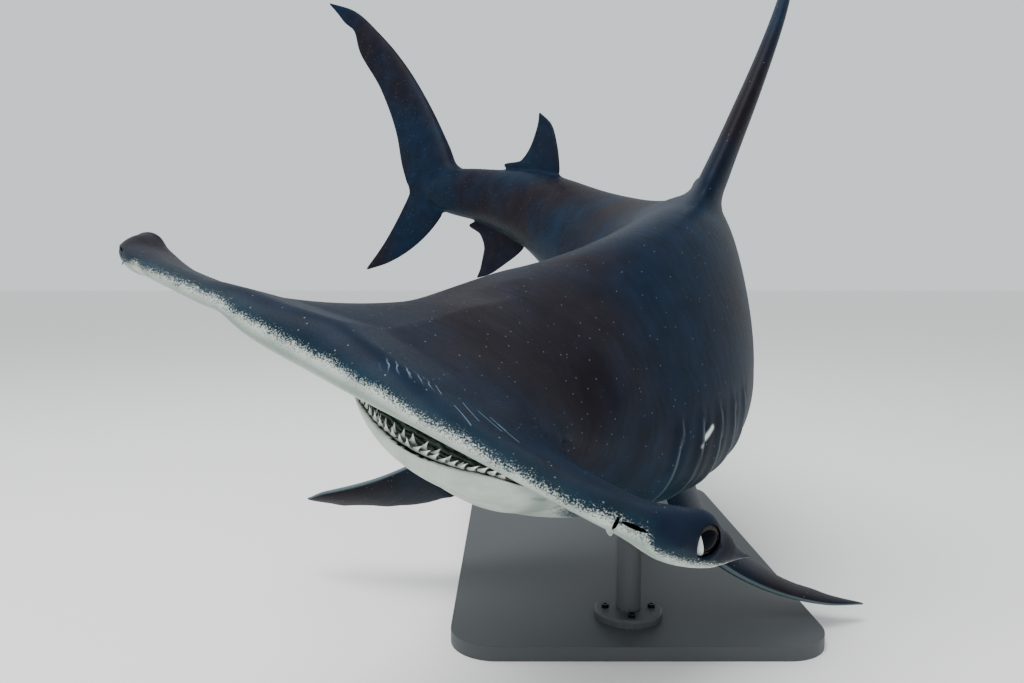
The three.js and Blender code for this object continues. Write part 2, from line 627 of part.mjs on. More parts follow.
const slits = sides.flatMap((side) => Array.from({ length: GILL_COUNT }, (unused, n) => gillSlit(side, n)));
add('torso_front', minus(trunkLength(HEAD_END, FRONT_END), slits), hide);
add('torso_middle', trunkLength(FRONT_END, MIDDLE_END), hide);
add('torso_rear', trunkLength(MIDDLE_END, REAR_END), hide);
add('tail_stalk', trunkLength(REAR_END, STALK_END), hide);

const clearTrunk = wholeTrunk(GAP_SHARE * 1.2);
const addFin = (name, fin, cutters = [clearTrunk]) => add(name, minus(finSolid(fin), cutters), hide);
addFin('first_dorsal_fin', firstDorsal);
addFin('second_dorsal_fin', secondDorsal);
addFin('anal_fin', analFin);
addFin('pectoral_fin_left', pectoral(1, PECTORAL_BENDS.left));
addFin('pectoral_fin_right', pectoral(-1, PECTORAL_BENDS.right));
Object.entries(SIDES).forEach(([name, side]) => addFin(`pelvic_fin_${name}`, pelvic(side)));

const upper = finSolid(upperLobe);
add('caudal_upper_lobe', upper, hide);
const clearUpper = finSolid({ ...upperLobe, thick: (q) => upperLobe.thick(q) + GAP_SHARE,
  rear: (q) => [upperLobe.rear(q)[0] + 2 * GAP_SHARE, upperLobe.rear(q)[1] - 2 * GAP_SHARE] });
addFin('caudal_lower_lobe', lowerLobe, [clearUpper, clearTrunk]);

const base = new THREE.Mesh(baseGeometry(), steel);
base.name = 'stand_base';
model.add(base);
Object.entries(ROD_STATIONS).forEach(([name, s]) => add(name, minus(rodSolid(s), [clearTrunk]), steel));

export default model;
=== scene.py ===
"""Looks of a great hammerhead shark, a life-size museum model on a plain display stand.

The skin is one mesh. It is shaped on straight body axes (a to the left, s to the tail, b to the
back), joined, smoothed, and then bent along the spine into the pose.
"""

import math

import bmesh
import bpy
import numpy as np
from bpy.props import FloatProperty, FloatVectorProperty, IntProperty, PointerProperty
from mathutils import Matrix, Vector
from mathutils.bvhtree import BVHTree


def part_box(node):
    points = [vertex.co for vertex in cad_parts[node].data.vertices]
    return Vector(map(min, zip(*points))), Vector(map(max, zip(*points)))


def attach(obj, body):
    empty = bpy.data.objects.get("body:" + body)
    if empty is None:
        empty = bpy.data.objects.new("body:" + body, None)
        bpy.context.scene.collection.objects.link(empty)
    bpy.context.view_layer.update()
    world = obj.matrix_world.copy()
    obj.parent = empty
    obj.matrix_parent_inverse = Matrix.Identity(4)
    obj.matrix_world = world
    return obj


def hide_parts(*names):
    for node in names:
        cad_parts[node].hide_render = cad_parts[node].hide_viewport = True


bl_info = {
    "name": "Great hammerhead shark model",
    "version": (1, 0, 0),
    "blender": (4, 5, 0),
    "location": "3D View > Sidebar > Shark",
    "description": "Builds the skin, mouth, teeth, eyes, stand finish and studio of the shark model",
    "category": "Add Mesh",
}

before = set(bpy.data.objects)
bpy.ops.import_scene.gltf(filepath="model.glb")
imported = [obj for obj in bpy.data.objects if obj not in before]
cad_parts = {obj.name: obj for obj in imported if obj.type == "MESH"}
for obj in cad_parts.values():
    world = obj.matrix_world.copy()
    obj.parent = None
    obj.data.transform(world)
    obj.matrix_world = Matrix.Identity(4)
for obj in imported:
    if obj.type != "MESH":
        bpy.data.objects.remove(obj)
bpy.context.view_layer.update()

LENGTH = 3.3
MM = 0.001 / LENGTH  # one millimetre as a share of the length

FLESH_NODES = (
    "head", "lower_jaw", "torso_front", "torso_middle", "torso_rear", "tail_stalk",
    "first_dorsal_fin", "second_dorsal_fin", "anal_fin", "pectoral_fin_left", "pectoral_fin_right",
    "pelvic_fin_left", "pelvic_fin_right", "caudal_upper_lobe", "caudal_lower_lobe",
)
ROD_NODES = ("stand_rod_front", "stand_rod_rear")


# ---------------------------------------------------------------- curves and the spine

def ease(x):
    t = np.clip(x, 0, 1)
    return t * t * (3 - 2 * t)


def curve(*knots):
    """A smooth curve through knots (x, y) that never overshoots them."""
    xs, ys = np.array(knots, float).T
    slopes = np.diff(ys) / np.diff(xs)
    product = slopes[:-1] * slopes[1:]
    total = np.where(product <= 0, 1, slopes[:-1] + slopes[1:])
    tangents = np.concatenate([slopes[:1], np.where(product <= 0, 0, 2 * product / total), slopes[-1:]])

    def value(x):
        x = np.asarray(x, float)
        i = np.clip(np.searchsorted(xs, x) - 1, 0, len(slopes) - 1)
        run = xs[i + 1] - xs[i]
        t = np.clip((x - xs[i]) / run, 0, 1)
        rest = 1 - t
        return (ys[i] * rest * rest * (1 + 2 * t) + ys[i + 1] * t * t * (3 - 2 * t)
                + tangents[i] * run * t * rest * rest - tangents[i + 1] * run * t * t * rest)

    return value


# The bend of the body in degrees along the spine, and where the spine starts
SNOUT = np.array([-0.1236, -0.3088, 0.1673])
heading = curve((0.08, 25.6), (0.16, 40), (0.26, 22), (0.36, 4), (0.46, -11), (0.56, -29),
                (0.66, -46), (0.76, -57), (1, -74))
climb = curve((0.08, -10.7), (0.16, 4), (0.26, 7), (0.36, 9), (0.46, 17), (0.56, 22),
              (0.66, 15), (0.76, 7), (1, 2))
bank = curve((0.08, 19.9), (0.16, 23.3), (0.36, 21), (0.46, 15), (0.56, 8), (0.66, 3),
             (0.76, 5), (1, 8))
SPINE_STEP = 0.002


def spine_axes(s):
    """Unit vectors to the tail, to the left and to the back at s."""
    yaw, pitch, roll = (np.radians(f(s)) for f in (heading, climb, bank))
    tail = np.stack([np.sin(yaw) * np.cos(pitch), np.cos(yaw) * np.cos(pitch), np.sin(pitch)], -1)
    flat = np.cross(tail, [0, 0, 1.0])
    flat /= np.linalg.norm(flat, axis=-1, keepdims=True)
    upright = np.cross(flat, tail)
    cos, sin = np.cos(roll)[..., None], np.sin(roll)[..., None]
    return tail, flat * cos - upright * sin, upright * cos + flat * sin


SPINE_S = np.arange(0, 1.1, SPINE_STEP)
SPINE_TAIL, SPINE_LEFT, SPINE_BACK = spine_axes(SPINE_S)
SPINE_AT = SNOUT + np.vstack([
    np.zeros(3), np.cumsum(spine_axes(SPINE_S[:-1] + SPINE_STEP / 2)[0] * SPINE_STEP, 0)])


def bend(points):
    """Straight body points (a, s, b) in metres to the bent body."""
    a, s, b = (np.asarray(points, float) / LENGTH).T
    position = np.clip(s / SPINE_STEP, 0, len(SPINE_S) - 2)
    i = np.floor(position).astype(int)
    share = (position - i)[:, None]

    def at(row):
        return row[i] * (1 - share) + row[i + 1] * share

    bent = at(SPINE_AT) + at(SPINE_LEFT) * a[:, None] + at(SPINE_BACK) * b[:, None]
    bent += np.minimum(s, 0)[:, None] * SPINE_TAIL[0]
    return bent * LENGTH


def straighten(points, low, high):
    """Bent points back to straight body points, for points that lie between stations low and high."""
    world = np.asarray(points, float) / LENGTH
    s = np.full(len(world), (low + high) / 2)
    for _ in range(30):
        position = np.clip(s, low, high) / SPINE_STEP
        i = np.floor(position).astype(int)
        share = (position - i)[:, None]
        at = SPINE_AT[i] * (1 - share) + SPINE_AT[i + 1] * share
        tail = SPINE_TAIL[i] * (1 - share) + SPINE_TAIL[i + 1] * share
        s = np.clip(s + 0.7 * np.sum((world - at) * tail, -1), low, high)
    offset = world - at
    left = SPINE_LEFT[i] * (1 - share) + SPINE_LEFT[i + 1] * share
    back = SPINE_BACK[i] * (1 - share) + SPINE_BACK[i + 1] * share
    return straight(s, np.sum(offset * left, -1), np.sum(offset * back, -1))


def straight(s, a, b):
    """Shares of the length to a straight body point (a, s, b) in metres."""
    s, a, b = np.broadcast_arrays(s, a, b)
    return np.stack([a, s, b], -1) * LENGTH


# ---------------------------------------------------------------- meshes

def mesh_object(name, points, faces):
    mesh = bpy.data.meshes.new(name)
    mesh.from_pydata(np.asarray(points).tolist(), [], faces)
    mesh.validate()
    item = bpy.data.objects.new(name, mesh)
    bpy.context.scene.collection.objects.link(item)
    return item


def points_of(item):
    flat = np.empty(len(item.data.vertices) * 3, np.float32)
    item.data.vertices.foreach_get("co", flat)
    return flat.reshape(-1, 3).astype(float)


def move_points(item, points):
    item.data.vertices.foreach_set("co", np.asarray(points, np.float32).ravel())
    item.data.update()


def write_values(item, name, values):
    """Stores one number or one vector for each point of the mesh."""
    kind, key = ("FLOAT", "value") if np.ndim(values) == 1 else ("FLOAT_VECTOR", "vector")
    layer = item.data.attributes.get(name) or item.data.attributes.new(name, kind, "POINT")
    layer.data.foreach_set(key, np.asarray(values, np.float32).ravel())


def read_values(item, name):
    values = np.zeros(len(item.data.vertices), np.float32)
    item.data.attributes[name].data.foreach_get("value", values)
    return values.astype(float)


def discard(*items):
    for item in items:
        mesh = item.data
        bpy.data.objects.remove(item)
        bpy.data.meshes.remove(mesh)


def loft(name, rings, cap_front=True, cap_rear=True, **values):
    """A tube through rings of equal count, with faces outwards where a ring runs from left to back.

    Each of the values holds one row of numbers per ring and becomes an attribute of the points.
    """
    count = len(rings[0])
    faces = []
    for r in range(len(rings) - 1):
        for k in range(count):
            n = (k + 1) % count
            faces.append((r * count + k, r * count + n, (r + 1) * count + n, (r + 1) * count + k))
    points = list(np.concatenate(rings))
    caps = [(0, True)] * cap_front + [(len(rings) - 1, False)] * cap_rear
    for ring, turned in caps:
        centre = len(points)
        points.append(np.mean(rings[ring], 0))
        for k in range(count):
            side = (ring * count + k, ring * count + (k + 1) % count)
            faces.append((centre, side[1], side[0]) if turned else (centre, side[0], side[1]))
    item = mesh_object(name, points, faces)
    for key, rows in values.items():
        write_values(item, key, np.concatenate([*rows, [np.mean(rows[ring]) for ring, _ in caps]]))
    tidy_mesh(item, 1e-6)
    return item


def tidy_mesh(item, distance):
    """Merges doubles and turns all faces outwards."""
    work = bmesh.new()
    work.from_mesh(item.data)
    bmesh.ops.remove_doubles(work, verts=work.verts, dist=distance)
    bmesh.ops.dissolve_degenerate(work, edges=work.edges, dist=distance)
    bmesh.ops.recalc_face_normals(work, faces=work.faces)
    if work.calc_volume(signed=True) < 0:
        bmesh.ops.reverse_faces(work, faces=work.faces)
    work.to_mesh(item.data)
    work.free()


def combine(item, other, operation):
    """Boolean of two closed meshes into item; other is discarded."""
    cut = item.modifiers.new("combine", "BOOLEAN")
    cut.operation = operation
    cut.solver = "MANIFOLD"
    cut.object = other
    graph = bpy.context.evaluated_depsgraph_get()
    mesh = bpy.data.meshes.new_from_object(item.evaluated_get(graph))
    item.modifiers.clear()
    old = item.data
    item.data = mesh
    mesh.name = item.name
    bpy.data.meshes.remove(old)
    discard(other)


def surface_tree(item):
    return BVHTree.FromObject(item, bpy.context.evaluated_depsgraph_get())


def distances(tree, points, far):
    found = (tree.find_nearest(Vector(p), far)[3] for p in points)
    return np.array([far if d is None else d for d in found])


def smoothed(item, values, weights, rounds):
    """Moves the values of each point towards the mean of its neighbours, by its weight."""
    pairs = np.empty(len(item.data.edges) * 2, np.int32)
    item.data.edges.foreach_get("vertices", pairs)
    one, two = pairs.reshape(-1, 2).T
    near = (weights[one] > 0) | (weights[two] > 0)
    ends = np.concatenate([one[near], two[near]])
    others = np.concatenate([two[near], one[near]])
    count = np.maximum(np.bincount(ends, minlength=len(values)), 1)
    result = np.array(values, float)
    for _ in range(rounds):
        for column in result.reshape(len(values), -1).T:
            mean = np.bincount(ends, column[others], len(values)) / count
            column += weights * 0.6 * (mean - column)
    return result


def join_smoothly(body, part, reach, rounds):
    """Joins part to body and rounds the crease between them within reach metres."""
    trees = [surface_tree(body), surface_tree(part)]
    own = points_of(part)
    low, high = own.min(0) - reach, own.max(0) + reach
    combine(body, part, "UNION")
    points = points_of(body)
    near = np.all((points > low) & (points < high), 1)
    gap = np.full(len(points), reach)
    gap[near] = np.maximum(*(distances(tree, points[near], reach) for tree in trees))
    move_points(body, smoothed(body, points, ease(1 - gap / reach), rounds))


# ---------------------------------------------------------------- shape of the head and trunk

HEAD_HALF = 0.122
FRONT_CORNER = 0.895
REAR_CORNER_S = 0.0475
NECK_S = 0.12
PLATE_END_S = 0.135
FAR_TWIST = 0.058
FAR_SHORTER = 0.022
EDGE_ABOVE = 0.0104
EDGE_BELOW = 0.0139
SIDE_ROUND = 0.9
MERGE_SHARE = 0.44  # where the rear margin of the plate runs into the trunk

front_margin = curve((0, 0.0042), (0.08, 0.0031), (0.15, 0.0025), (0.35, 0.003), (0.55, 0.0047),
                     (0.7, 0.0077), (0.8, 0.0123), (FRONT_CORNER, 0.0191), (1, 0.0272))
side_margin = curve((0, FRONT_CORNER), (0.5, 0.964), (1, 1))
rear_margin = curve((0.3, 0.2), (0.36, 0.13), (0.4, 0.095), (0.42, 0.075), (0.5, 0.0575),
                    (0.65, 0.0485), (0.8, 0.048), (0.93, 0.0478), (1, REAR_CORNER_S))
plate_above = curve((0, 0.013), (0.2, 0.01), (0.35, 0.0063), (0.5, 0.0047), (0.65, 0.0041),
                    (0.78, 0.0046), (0.86, 0.0073), (0.94, 0.0087), (1, 0.006))
plate_below = curve((0, 0.0046), (0.2, 0.0038), (0.35, 0.0035), (0.5, 0.0036), (0.65, 0.0042),
                    (0.78, 0.0052), (0.86, 0.0074), (0.94, 0.0074), (1, 0.0049))
trunk_half = curve((0.07, 0.054), (0.078, 0.0512), (0.12, 0.0567), (0.15, 0.0605), (0.2, 0.064),
                   (0.27, 0.0624), (0.33, 0.0574), (0.4, 0.0532), (0.48, 0.0475), (0.56, 0.0403),
                   (0.63, 0.032), (0.69, 0.0225), (0.733, 0.0185), (0.765, 0.011), (0.785, 0.002))
back_rise = curve((0, 0), (0.02, 0.0086), (0.04, 0.0148), (0.06, 0.021), (0.08, 0.0285), (0.1, 0.034),
                  (0.15, 0.0448), (0.2, 0.0595), (0.27, 0.0725), (0.33, 0.0765), (0.4, 0.066),
                  (0.48, 0.0535), (0.56, 0.042), (0.63, 0.036), (0.69, 0.028), (0.733, 0.0245),
                  (0.765, 0.019), (0.785, 0.004))
belly_drop = curve((0.07, 0), (0.0715, 0.02), (0.0755, 0.0286), (0.0835, 0.0364), (0.1, 0.044),
                   (0.12, 0.0545), (0.15, 0.0615), (0.2, 0.0597), (0.27, 0.06), (0.33, 0.06),
                   (0.4, 0.058), (0.48, 0.052), (0.56, 0.043), (0.63, 0.034), (0.69, 0.0265),
                   (0.733, 0.0245), (0.765, 0.017), (0.785, 0.003))
back_breadth = curve((0, 0.1), (0.03, 0.084), (0.06, 0.0587), (0.09, 0.0545), (NECK_S, 0.0567))
jaw_breadth = curve((0.07, 0.004), (0.0725, 0.0245), (0.0755, 0.0335), (0.0815, 0.044), (0.0895, 0.0515),
                    (0.105, 0.0558), (NECK_S, 0.0567))
back_dome = curve((0.04, 1.5), (NECK_S, 0.5))
pear = curve((NECK_S, 0), (0.2, 0.46), (0.27, 0.45), (0.35, 0.38), (0.45, 0.2), (0.6, 0.05), (0.7, 0))

QUARTER = 48  # points in a quarter of a ring
EDGE_STEPS = 10
FRONT_LINES = 18
REAR_LINES = 26
TRUNK_STEPS = ((0.0706, 0.08, 0.0019), (0.08, 0.16, 0.003), (0.16, 0.245, 0.0018),
               (0.245, 0.45, 0.0043), (0.45, 0.7, 0.0045), (0.7, 0.785, 0.003))


def plate_share(s, x, v, on_side, upward):
    """How much of its full thickness the head plate has at a point."""
    lead = np.clip((s - front_margin(x)) / np.where(upward, EDGE_ABOVE, EDGE_BELOW), 0, 1)
    chord = (s - front_margin(x)) / (rear_margin(x) - front_margin(x))
    thinning = 1 - 0.84 * ease((chord - 0.35) / 0.65)
    taper = np.where(x > MERGE_SHARE, np.clip((1.0 - chord) / 0.1, 0.12, 1), 1)
    edge = np.clip((np.abs(v) - SIDE_ROUND) / (1 - SIDE_ROUND), 0, 1) if on_side else 0
    fade = 1 - ease((s - 0.085) / (PLATE_END_S - 0.085))
    return np.sqrt(1 - (1 - lead) ** 2) * thinning * taper * np.sqrt(1 - edge ** 2) * fade


def far_lift(s, x):
    """The far half of the head is twisted a little, front edge up."""
    middle = (front_margin(x) + rear_margin(x)) / 2
    return FAR_TWIST * ease((x - 0.15) / 0.35) * (1 - ease((s - 0.06) / 0.03)) * (middle - s)


def skin_ring(half, s, v, sine, on_side):
    """Straight points of one ring; v and sine are the cosine and sine of its angles."""
    a = half * v
    x = np.abs(a) / HEAD_HALF
    upward = sine > 0
    share = plate_share(s, x, v, on_side, upward)
    plate = np.where(upward, plate_above(x), plate_below(x)) * share
    middle = np.where(upward, plate_above(0), plate_below(0))
    middle = middle * (1 - ease((s - 0.085) / (PLATE_END_S - 0.085)))
    breadth = np.where(upward & (s < NECK_S), np.minimum(back_breadth(s), half), half)
    dome = np.where(upward, back_dome(s), 0.5)
    belly = belly_drop(s) * ease((s - 0.1) / 0.022)
    bump = np.maximum(np.where(upward, back_rise(s), belly) - middle, 0)
    bump = bump * np.maximum(1 - (a / breadth) ** 2, 0) ** dome
    height = np.where(np.abs(sine) < 1e-9, 0, (plate + bump) * np.where(upward, 1, -1))
    far = (a < 0) & (s < NECK_S)
    b = height + np.where(far, far_lift(s, x), 0)
    shorter = np.where(far, 1 - FAR_SHORTER * ease((x - 0.6) / 0.4), 1)
    return straight(s, a * (1 - pear(s) * sine) * shorter, b)


def ring_angles(flat):
    """Angles round a ring. They are spread for a wide plate where flat is 1, for a round body at 0."""
    turn = np.linspace(0, np.pi / 2, EDGE_STEPS + 1)
    across = np.concatenate([SIDE_ROUND + (1 - SIDE_ROUND) * np.cos(turn),
                             SIDE_ROUND * np.linspace(1, 0, QUARTER - EDGE_STEPS + 1)[1:]])
    first = flat * np.arccos(np.clip(across, 0, 1)) + (1 - flat) * np.linspace(0, np.pi / 2, QUARTER + 1)
    half = np.concatenate([first, np.pi - first[-2::-1]])
    return np.concatenate([half, 2 * np.pi - half[-2:0:-1]])


def head_rings():
    """Rings from the front margin to where the plate's rear margin meets the trunk."""
    total = FRONT_LINES + REAR_LINES
    angles = ring_angles(1)
    v, sine = np.cos(angles), np.sin(angles)
    sine[[0, 2 * QUARTER]] = 0

    def spread(j):
        return (np.asarray(j, float) / total) ** 1.4

    rings = []
    for j in range(total + 1):
        on_side = j <= FRONT_LINES
        t = spread(j) / spread(FRONT_LINES)
        tip = side_margin(t) if on_side else 1 - (1 - MERGE_SHARE) * (j - FRONT_LINES) / REAR_LINES
        x = np.abs(v) * tip
        last = FRONT_LINES + REAR_LINES * np.clip((1 - x) / (1 - MERGE_SHARE), 0, 1)
        front, rear = front_margin(x), rear_margin(np.maximum(x, MERGE_SHARE))
        s = front + (rear - front) * np.clip(spread(j) / spread(last), 0, 1)
        if on_side:
            outer = ease((np.abs(v) - 0.8) / 0.2)
            side = front_margin(np.abs(v) * FRONT_CORNER) * (1 - t) + REAR_CORNER_S * t
            s = s * (1 - outer) + side * outer
        rings.append(skin_ring(HEAD_HALF * tip, s, v, sine, on_side))
    return rings


def trunk_rings():
    rings = []
    for low, high, step in TRUNK_STEPS:
        count = round((high - low) / step)
        for s in low + (high - low) * np.arange(1, count + 1) / count:
            angles = ring_angles(1 - ease((s - 0.075) / 0.07))
            v, sine = np.cos(angles), np.sin(angles)
            sine[[0, 2 * QUARTER]] = 0
            rings.append(skin_ring(trunk_half(s), np.full(len(v), s), v, sine, False))
    return rings


def jaw_solid(inset=0.0):
    """The lower jaw as a solid of its own: half-oval sections under the head."""
    turn = np.linspace(0, np.pi, 61)
    grow = curve((0.07, 1.002), (0.108, 1.002), (0.138, 0.965))
    finer = np.linspace(0.07, 0.0755, 400)
    drops = np.linspace(0.1, 1, 14) ** 0.5 * belly_drop(0.0755)
    first = np.interp(drops, belly_drop(finer), finer)
    stations = np.concatenate([first, np.linspace(0.0765, 0.138, 34)])
    rings = []
    for s in stations:
        wide = max(jaw_breadth(s) * grow(s) - inset, 0.001)
        deep = max(belly_drop(s) * grow(s) - inset, 0.001)
        lower = straight(s + inset, wide * np.cos(turn), -deep * np.sin(turn))
        rise = 0.011 * ease((s - 0.079) / 0.02)
        upper = straight(s + inset, wide * np.cos(turn[-2:0:-1]), rise * np.sin(turn[-2:0:-1]) - 0.001)
        rings.append(np.concatenate([lower, upper]))
    return loft("jaw", rings)


# ---------------------------------------------------------------- mouth

PALATE_B = -0.0082
LIP_THICK = 0.005
BOWL_DEPTH = 0.009
hollow_half = curve((0.058, 0.07), (0.0815, 0.07), (0.0855, 0.045), (0.12, 0.044))
LINING = 2 * MM
LIP_RIM = 4 * MM
CORNER_S = 0.0865

lip_rise = curve((0.07, -0.033), (0.0755, -0.0285), (0.082, -0.0228), (0.096, -0.021), (0.108, -0.017),
                 (0.115, -0.0105))


def lip_half(s):
    drop = np.clip(-lip_rise(s) / np.maximum(belly_drop(s), 1e-6), 0, 1)
    return jaw_breadth(s) * np.sqrt(1 - drop * drop)


def mouth_floor(s, a):
    inner = np.maximum(lip_half(np.clip(s, 0.0765, 0.112)) - LIP_THICK, 0.004)
    bowl = ease((s - 0.076) / 0.012) * BOWL_DEPTH * np.sqrt(np.maximum(1 - (a / inner) ** 2, 0))
    return lip_rise(s) - bowl


def mouth_hollow(grow=0.0):
    """What is cut out of the head for the open mouth."""
    rings = []
    for s in np.linspace(0.06 - grow, 0.118 + grow, 90):
        across = np.linspace(1, -1, 81) * (hollow_half(s) + grow)
        ceiling = np.full(len(across), PALATE_B + grow)
        floor = np.minimum(mouth_floor(s, across), PALATE_B - 0.0004) - grow
        rings.append(np.concatenate([straight(s, across, ceiling), straight(s, across[::-1], floor[::-1])]))
    return loft("hollow", rings)


# ---------------------------------------------------------------- fins

FIN_SECTIONS = 64
FIN_SIDES = 20


def edge(*knots):
    along = curve(*((q, x) for q, x, y in knots))
    out = curve(*((q, y) for q, x, y in knots))
    return lambda q: (along(q), out(q))


def fin_solid(name, front, rear, thick, put, paler_below=False, ripple=0.0):
    """Sections from the sunk root (q = 0) to the tip, each from the front edge to the rear edge.

    The points carry what the hide needs: fin is 1, tone is above 0 where the fin is dark, and a third
    value is above 0 along the thin front edge, where a highlight is painted. The rear edge is a little
    ragged.
    """
    turn = np.linspace(0, 2 * np.pi, 2 * FIN_SIDES, endpoint=False)
    chord = (1 - np.cos(turn)) / 2
    rings, tones, painted_glint_rows = [], [], []
    for q in (1 - np.cos(np.linspace(0, np.pi, FIN_SECTIONS + 1))) / 2:
        (x0, y0), (x1, y1) = front(q), rear(q)
        wave = ripple * ease((q - 0.2) / 0.2) * ease((1 - q) / 0.08)
        wave = wave * (np.sin(47 * q) + 0.7 * np.sin(29 * q + 2) + 0.5 * np.sin(83 * q + 1))
        depth = thick(q) * np.sin(turn) * (1.35 - 0.8 * chord)
        rings.append(put(x0 + (x1 - x0) * chord + wave * chord ** 3, y0 + (y1 - y0) * chord, depth))
        length = math.hypot(x1 - x0, y1 - y0) * LENGTH
        # The undersides of the paired fins are painted almost as dark as their tops: painted shade over paler
        # skin. The dusky tips and rear edges are their own colour.
        dusk = 1.2 * ease((q - 0.55) / 0.4) + 1.1 * ease((chord - 0.72) / 0.25)
        below = (np.sin(turn) < -0.05) & paler_below
        tones.append(np.where(below, 1.7 + dusk / 2, 2.4))
        # A thin painted highlight along the front edge of the paired fins
        painted_glint_rows.append(0.6 * ease(1 - chord * length / 0.004) * ease((q - 0.25) / 0.2) * paler_below)
    return loft(name, rings, fin=np.ones((len(rings), len(turn))), tone=tones, crease=painted_glint_rows)


def median(s, b, depth):
    return straight(s, depth, b)


def paired(side, root, down, lean=0.0, sag=0.0, curl=0.0, turn=0.0, reach=1.0, span=0.149):
    """Places a fin in the frame of its root: it leans, sags, curls up and turns about its span."""
    origin = bend(straight(root[0], side * root[1], root[2])[None])[0] / LENGTH
    i = round((root[0] + 0.03) / SPINE_STEP)
    tail, left, back = SPINE_TAIL[i], SPINE_LEFT[i], SPINE_BACK[i]
    out = left * side * math.cos(math.radians(down)) - back * math.sin(math.radians(down))
    face = np.cross(tail, out) * -side
    face /= np.linalg.norm(face)

    def put(x, out_share, depth):
        y = out_share * reach
        past = np.maximum(y, 0)
        angle = math.radians(turn) * np.clip(past / 0.06, 0, 1)
        along = x * np.cos(angle) + lean * past + depth * np.sin(angle)
        far = span * reach
        bow = curl * past * past / far - sag * past * (far - past)
        lift = depth * np.cos(angle) - x * np.sin(angle) + bow
        world = origin + along[:, None] * tail + y[:, None] * out + lift[:, None] * face
        return straighten(world * LENGTH, root[0] - 0.12, root[0] + 0.25)

    return put


PECTORAL_SPAN = 0.149
PECTORAL_ROOT = (0.222, 0.0387, -0.0453)
PECTORAL_SHAPE = {
    "front": edge((0, -0.004, -0.03), (0.18, 0, 0.006), (0.45, 0.008, 0.054), (0.7, 0.026, 0.1),
                  (0.88, 0.046, 0.132), (1, 0.064, PECTORAL_SPAN)),
    "rear": edge((0, 0.054, -0.03), (0.18, 0.072, 0.012), (0.3, 0.064, 0.032), (0.5, 0.055, 0.066),
                 (0.72, 0.055, 0.104), (0.88, 0.061, 0.133), (1, 0.066, PECTORAL_SPAN - 0.001)),
    "thick": curve((0, 0.009), (0.2, 0.0064), (0.6, 0.004), (0.9, 0.002), (1, 0.0006)),
}
PELVIC_SHAPE = {
    "front": edge((0, -0.004, -0.022), (0.3, 0.004, 0.006), (0.65, 0.021, 0.03), (1, 0.04, 0.044)),
    "rear": edge((0, 0.044, -0.022), (0.25, 0.066, 0.006), (0.5, 0.052, 0.02), (0.75, 0.044, 0.034),
                 (1, 0.0415, 0.0435)),
    "thick": curve((0, 0.0045), (0.4, 0.003), (0.85, 0.0014), (1, 0.0005)),
}
PAIRED_LOOK = {"paler_below": True, "ripple": 1.6 * MM}
SMALL_FIN_THICK = curve((0, 0.0045), (0.3, 0.003), (0.8, 0.0014), (1, 0.0005))


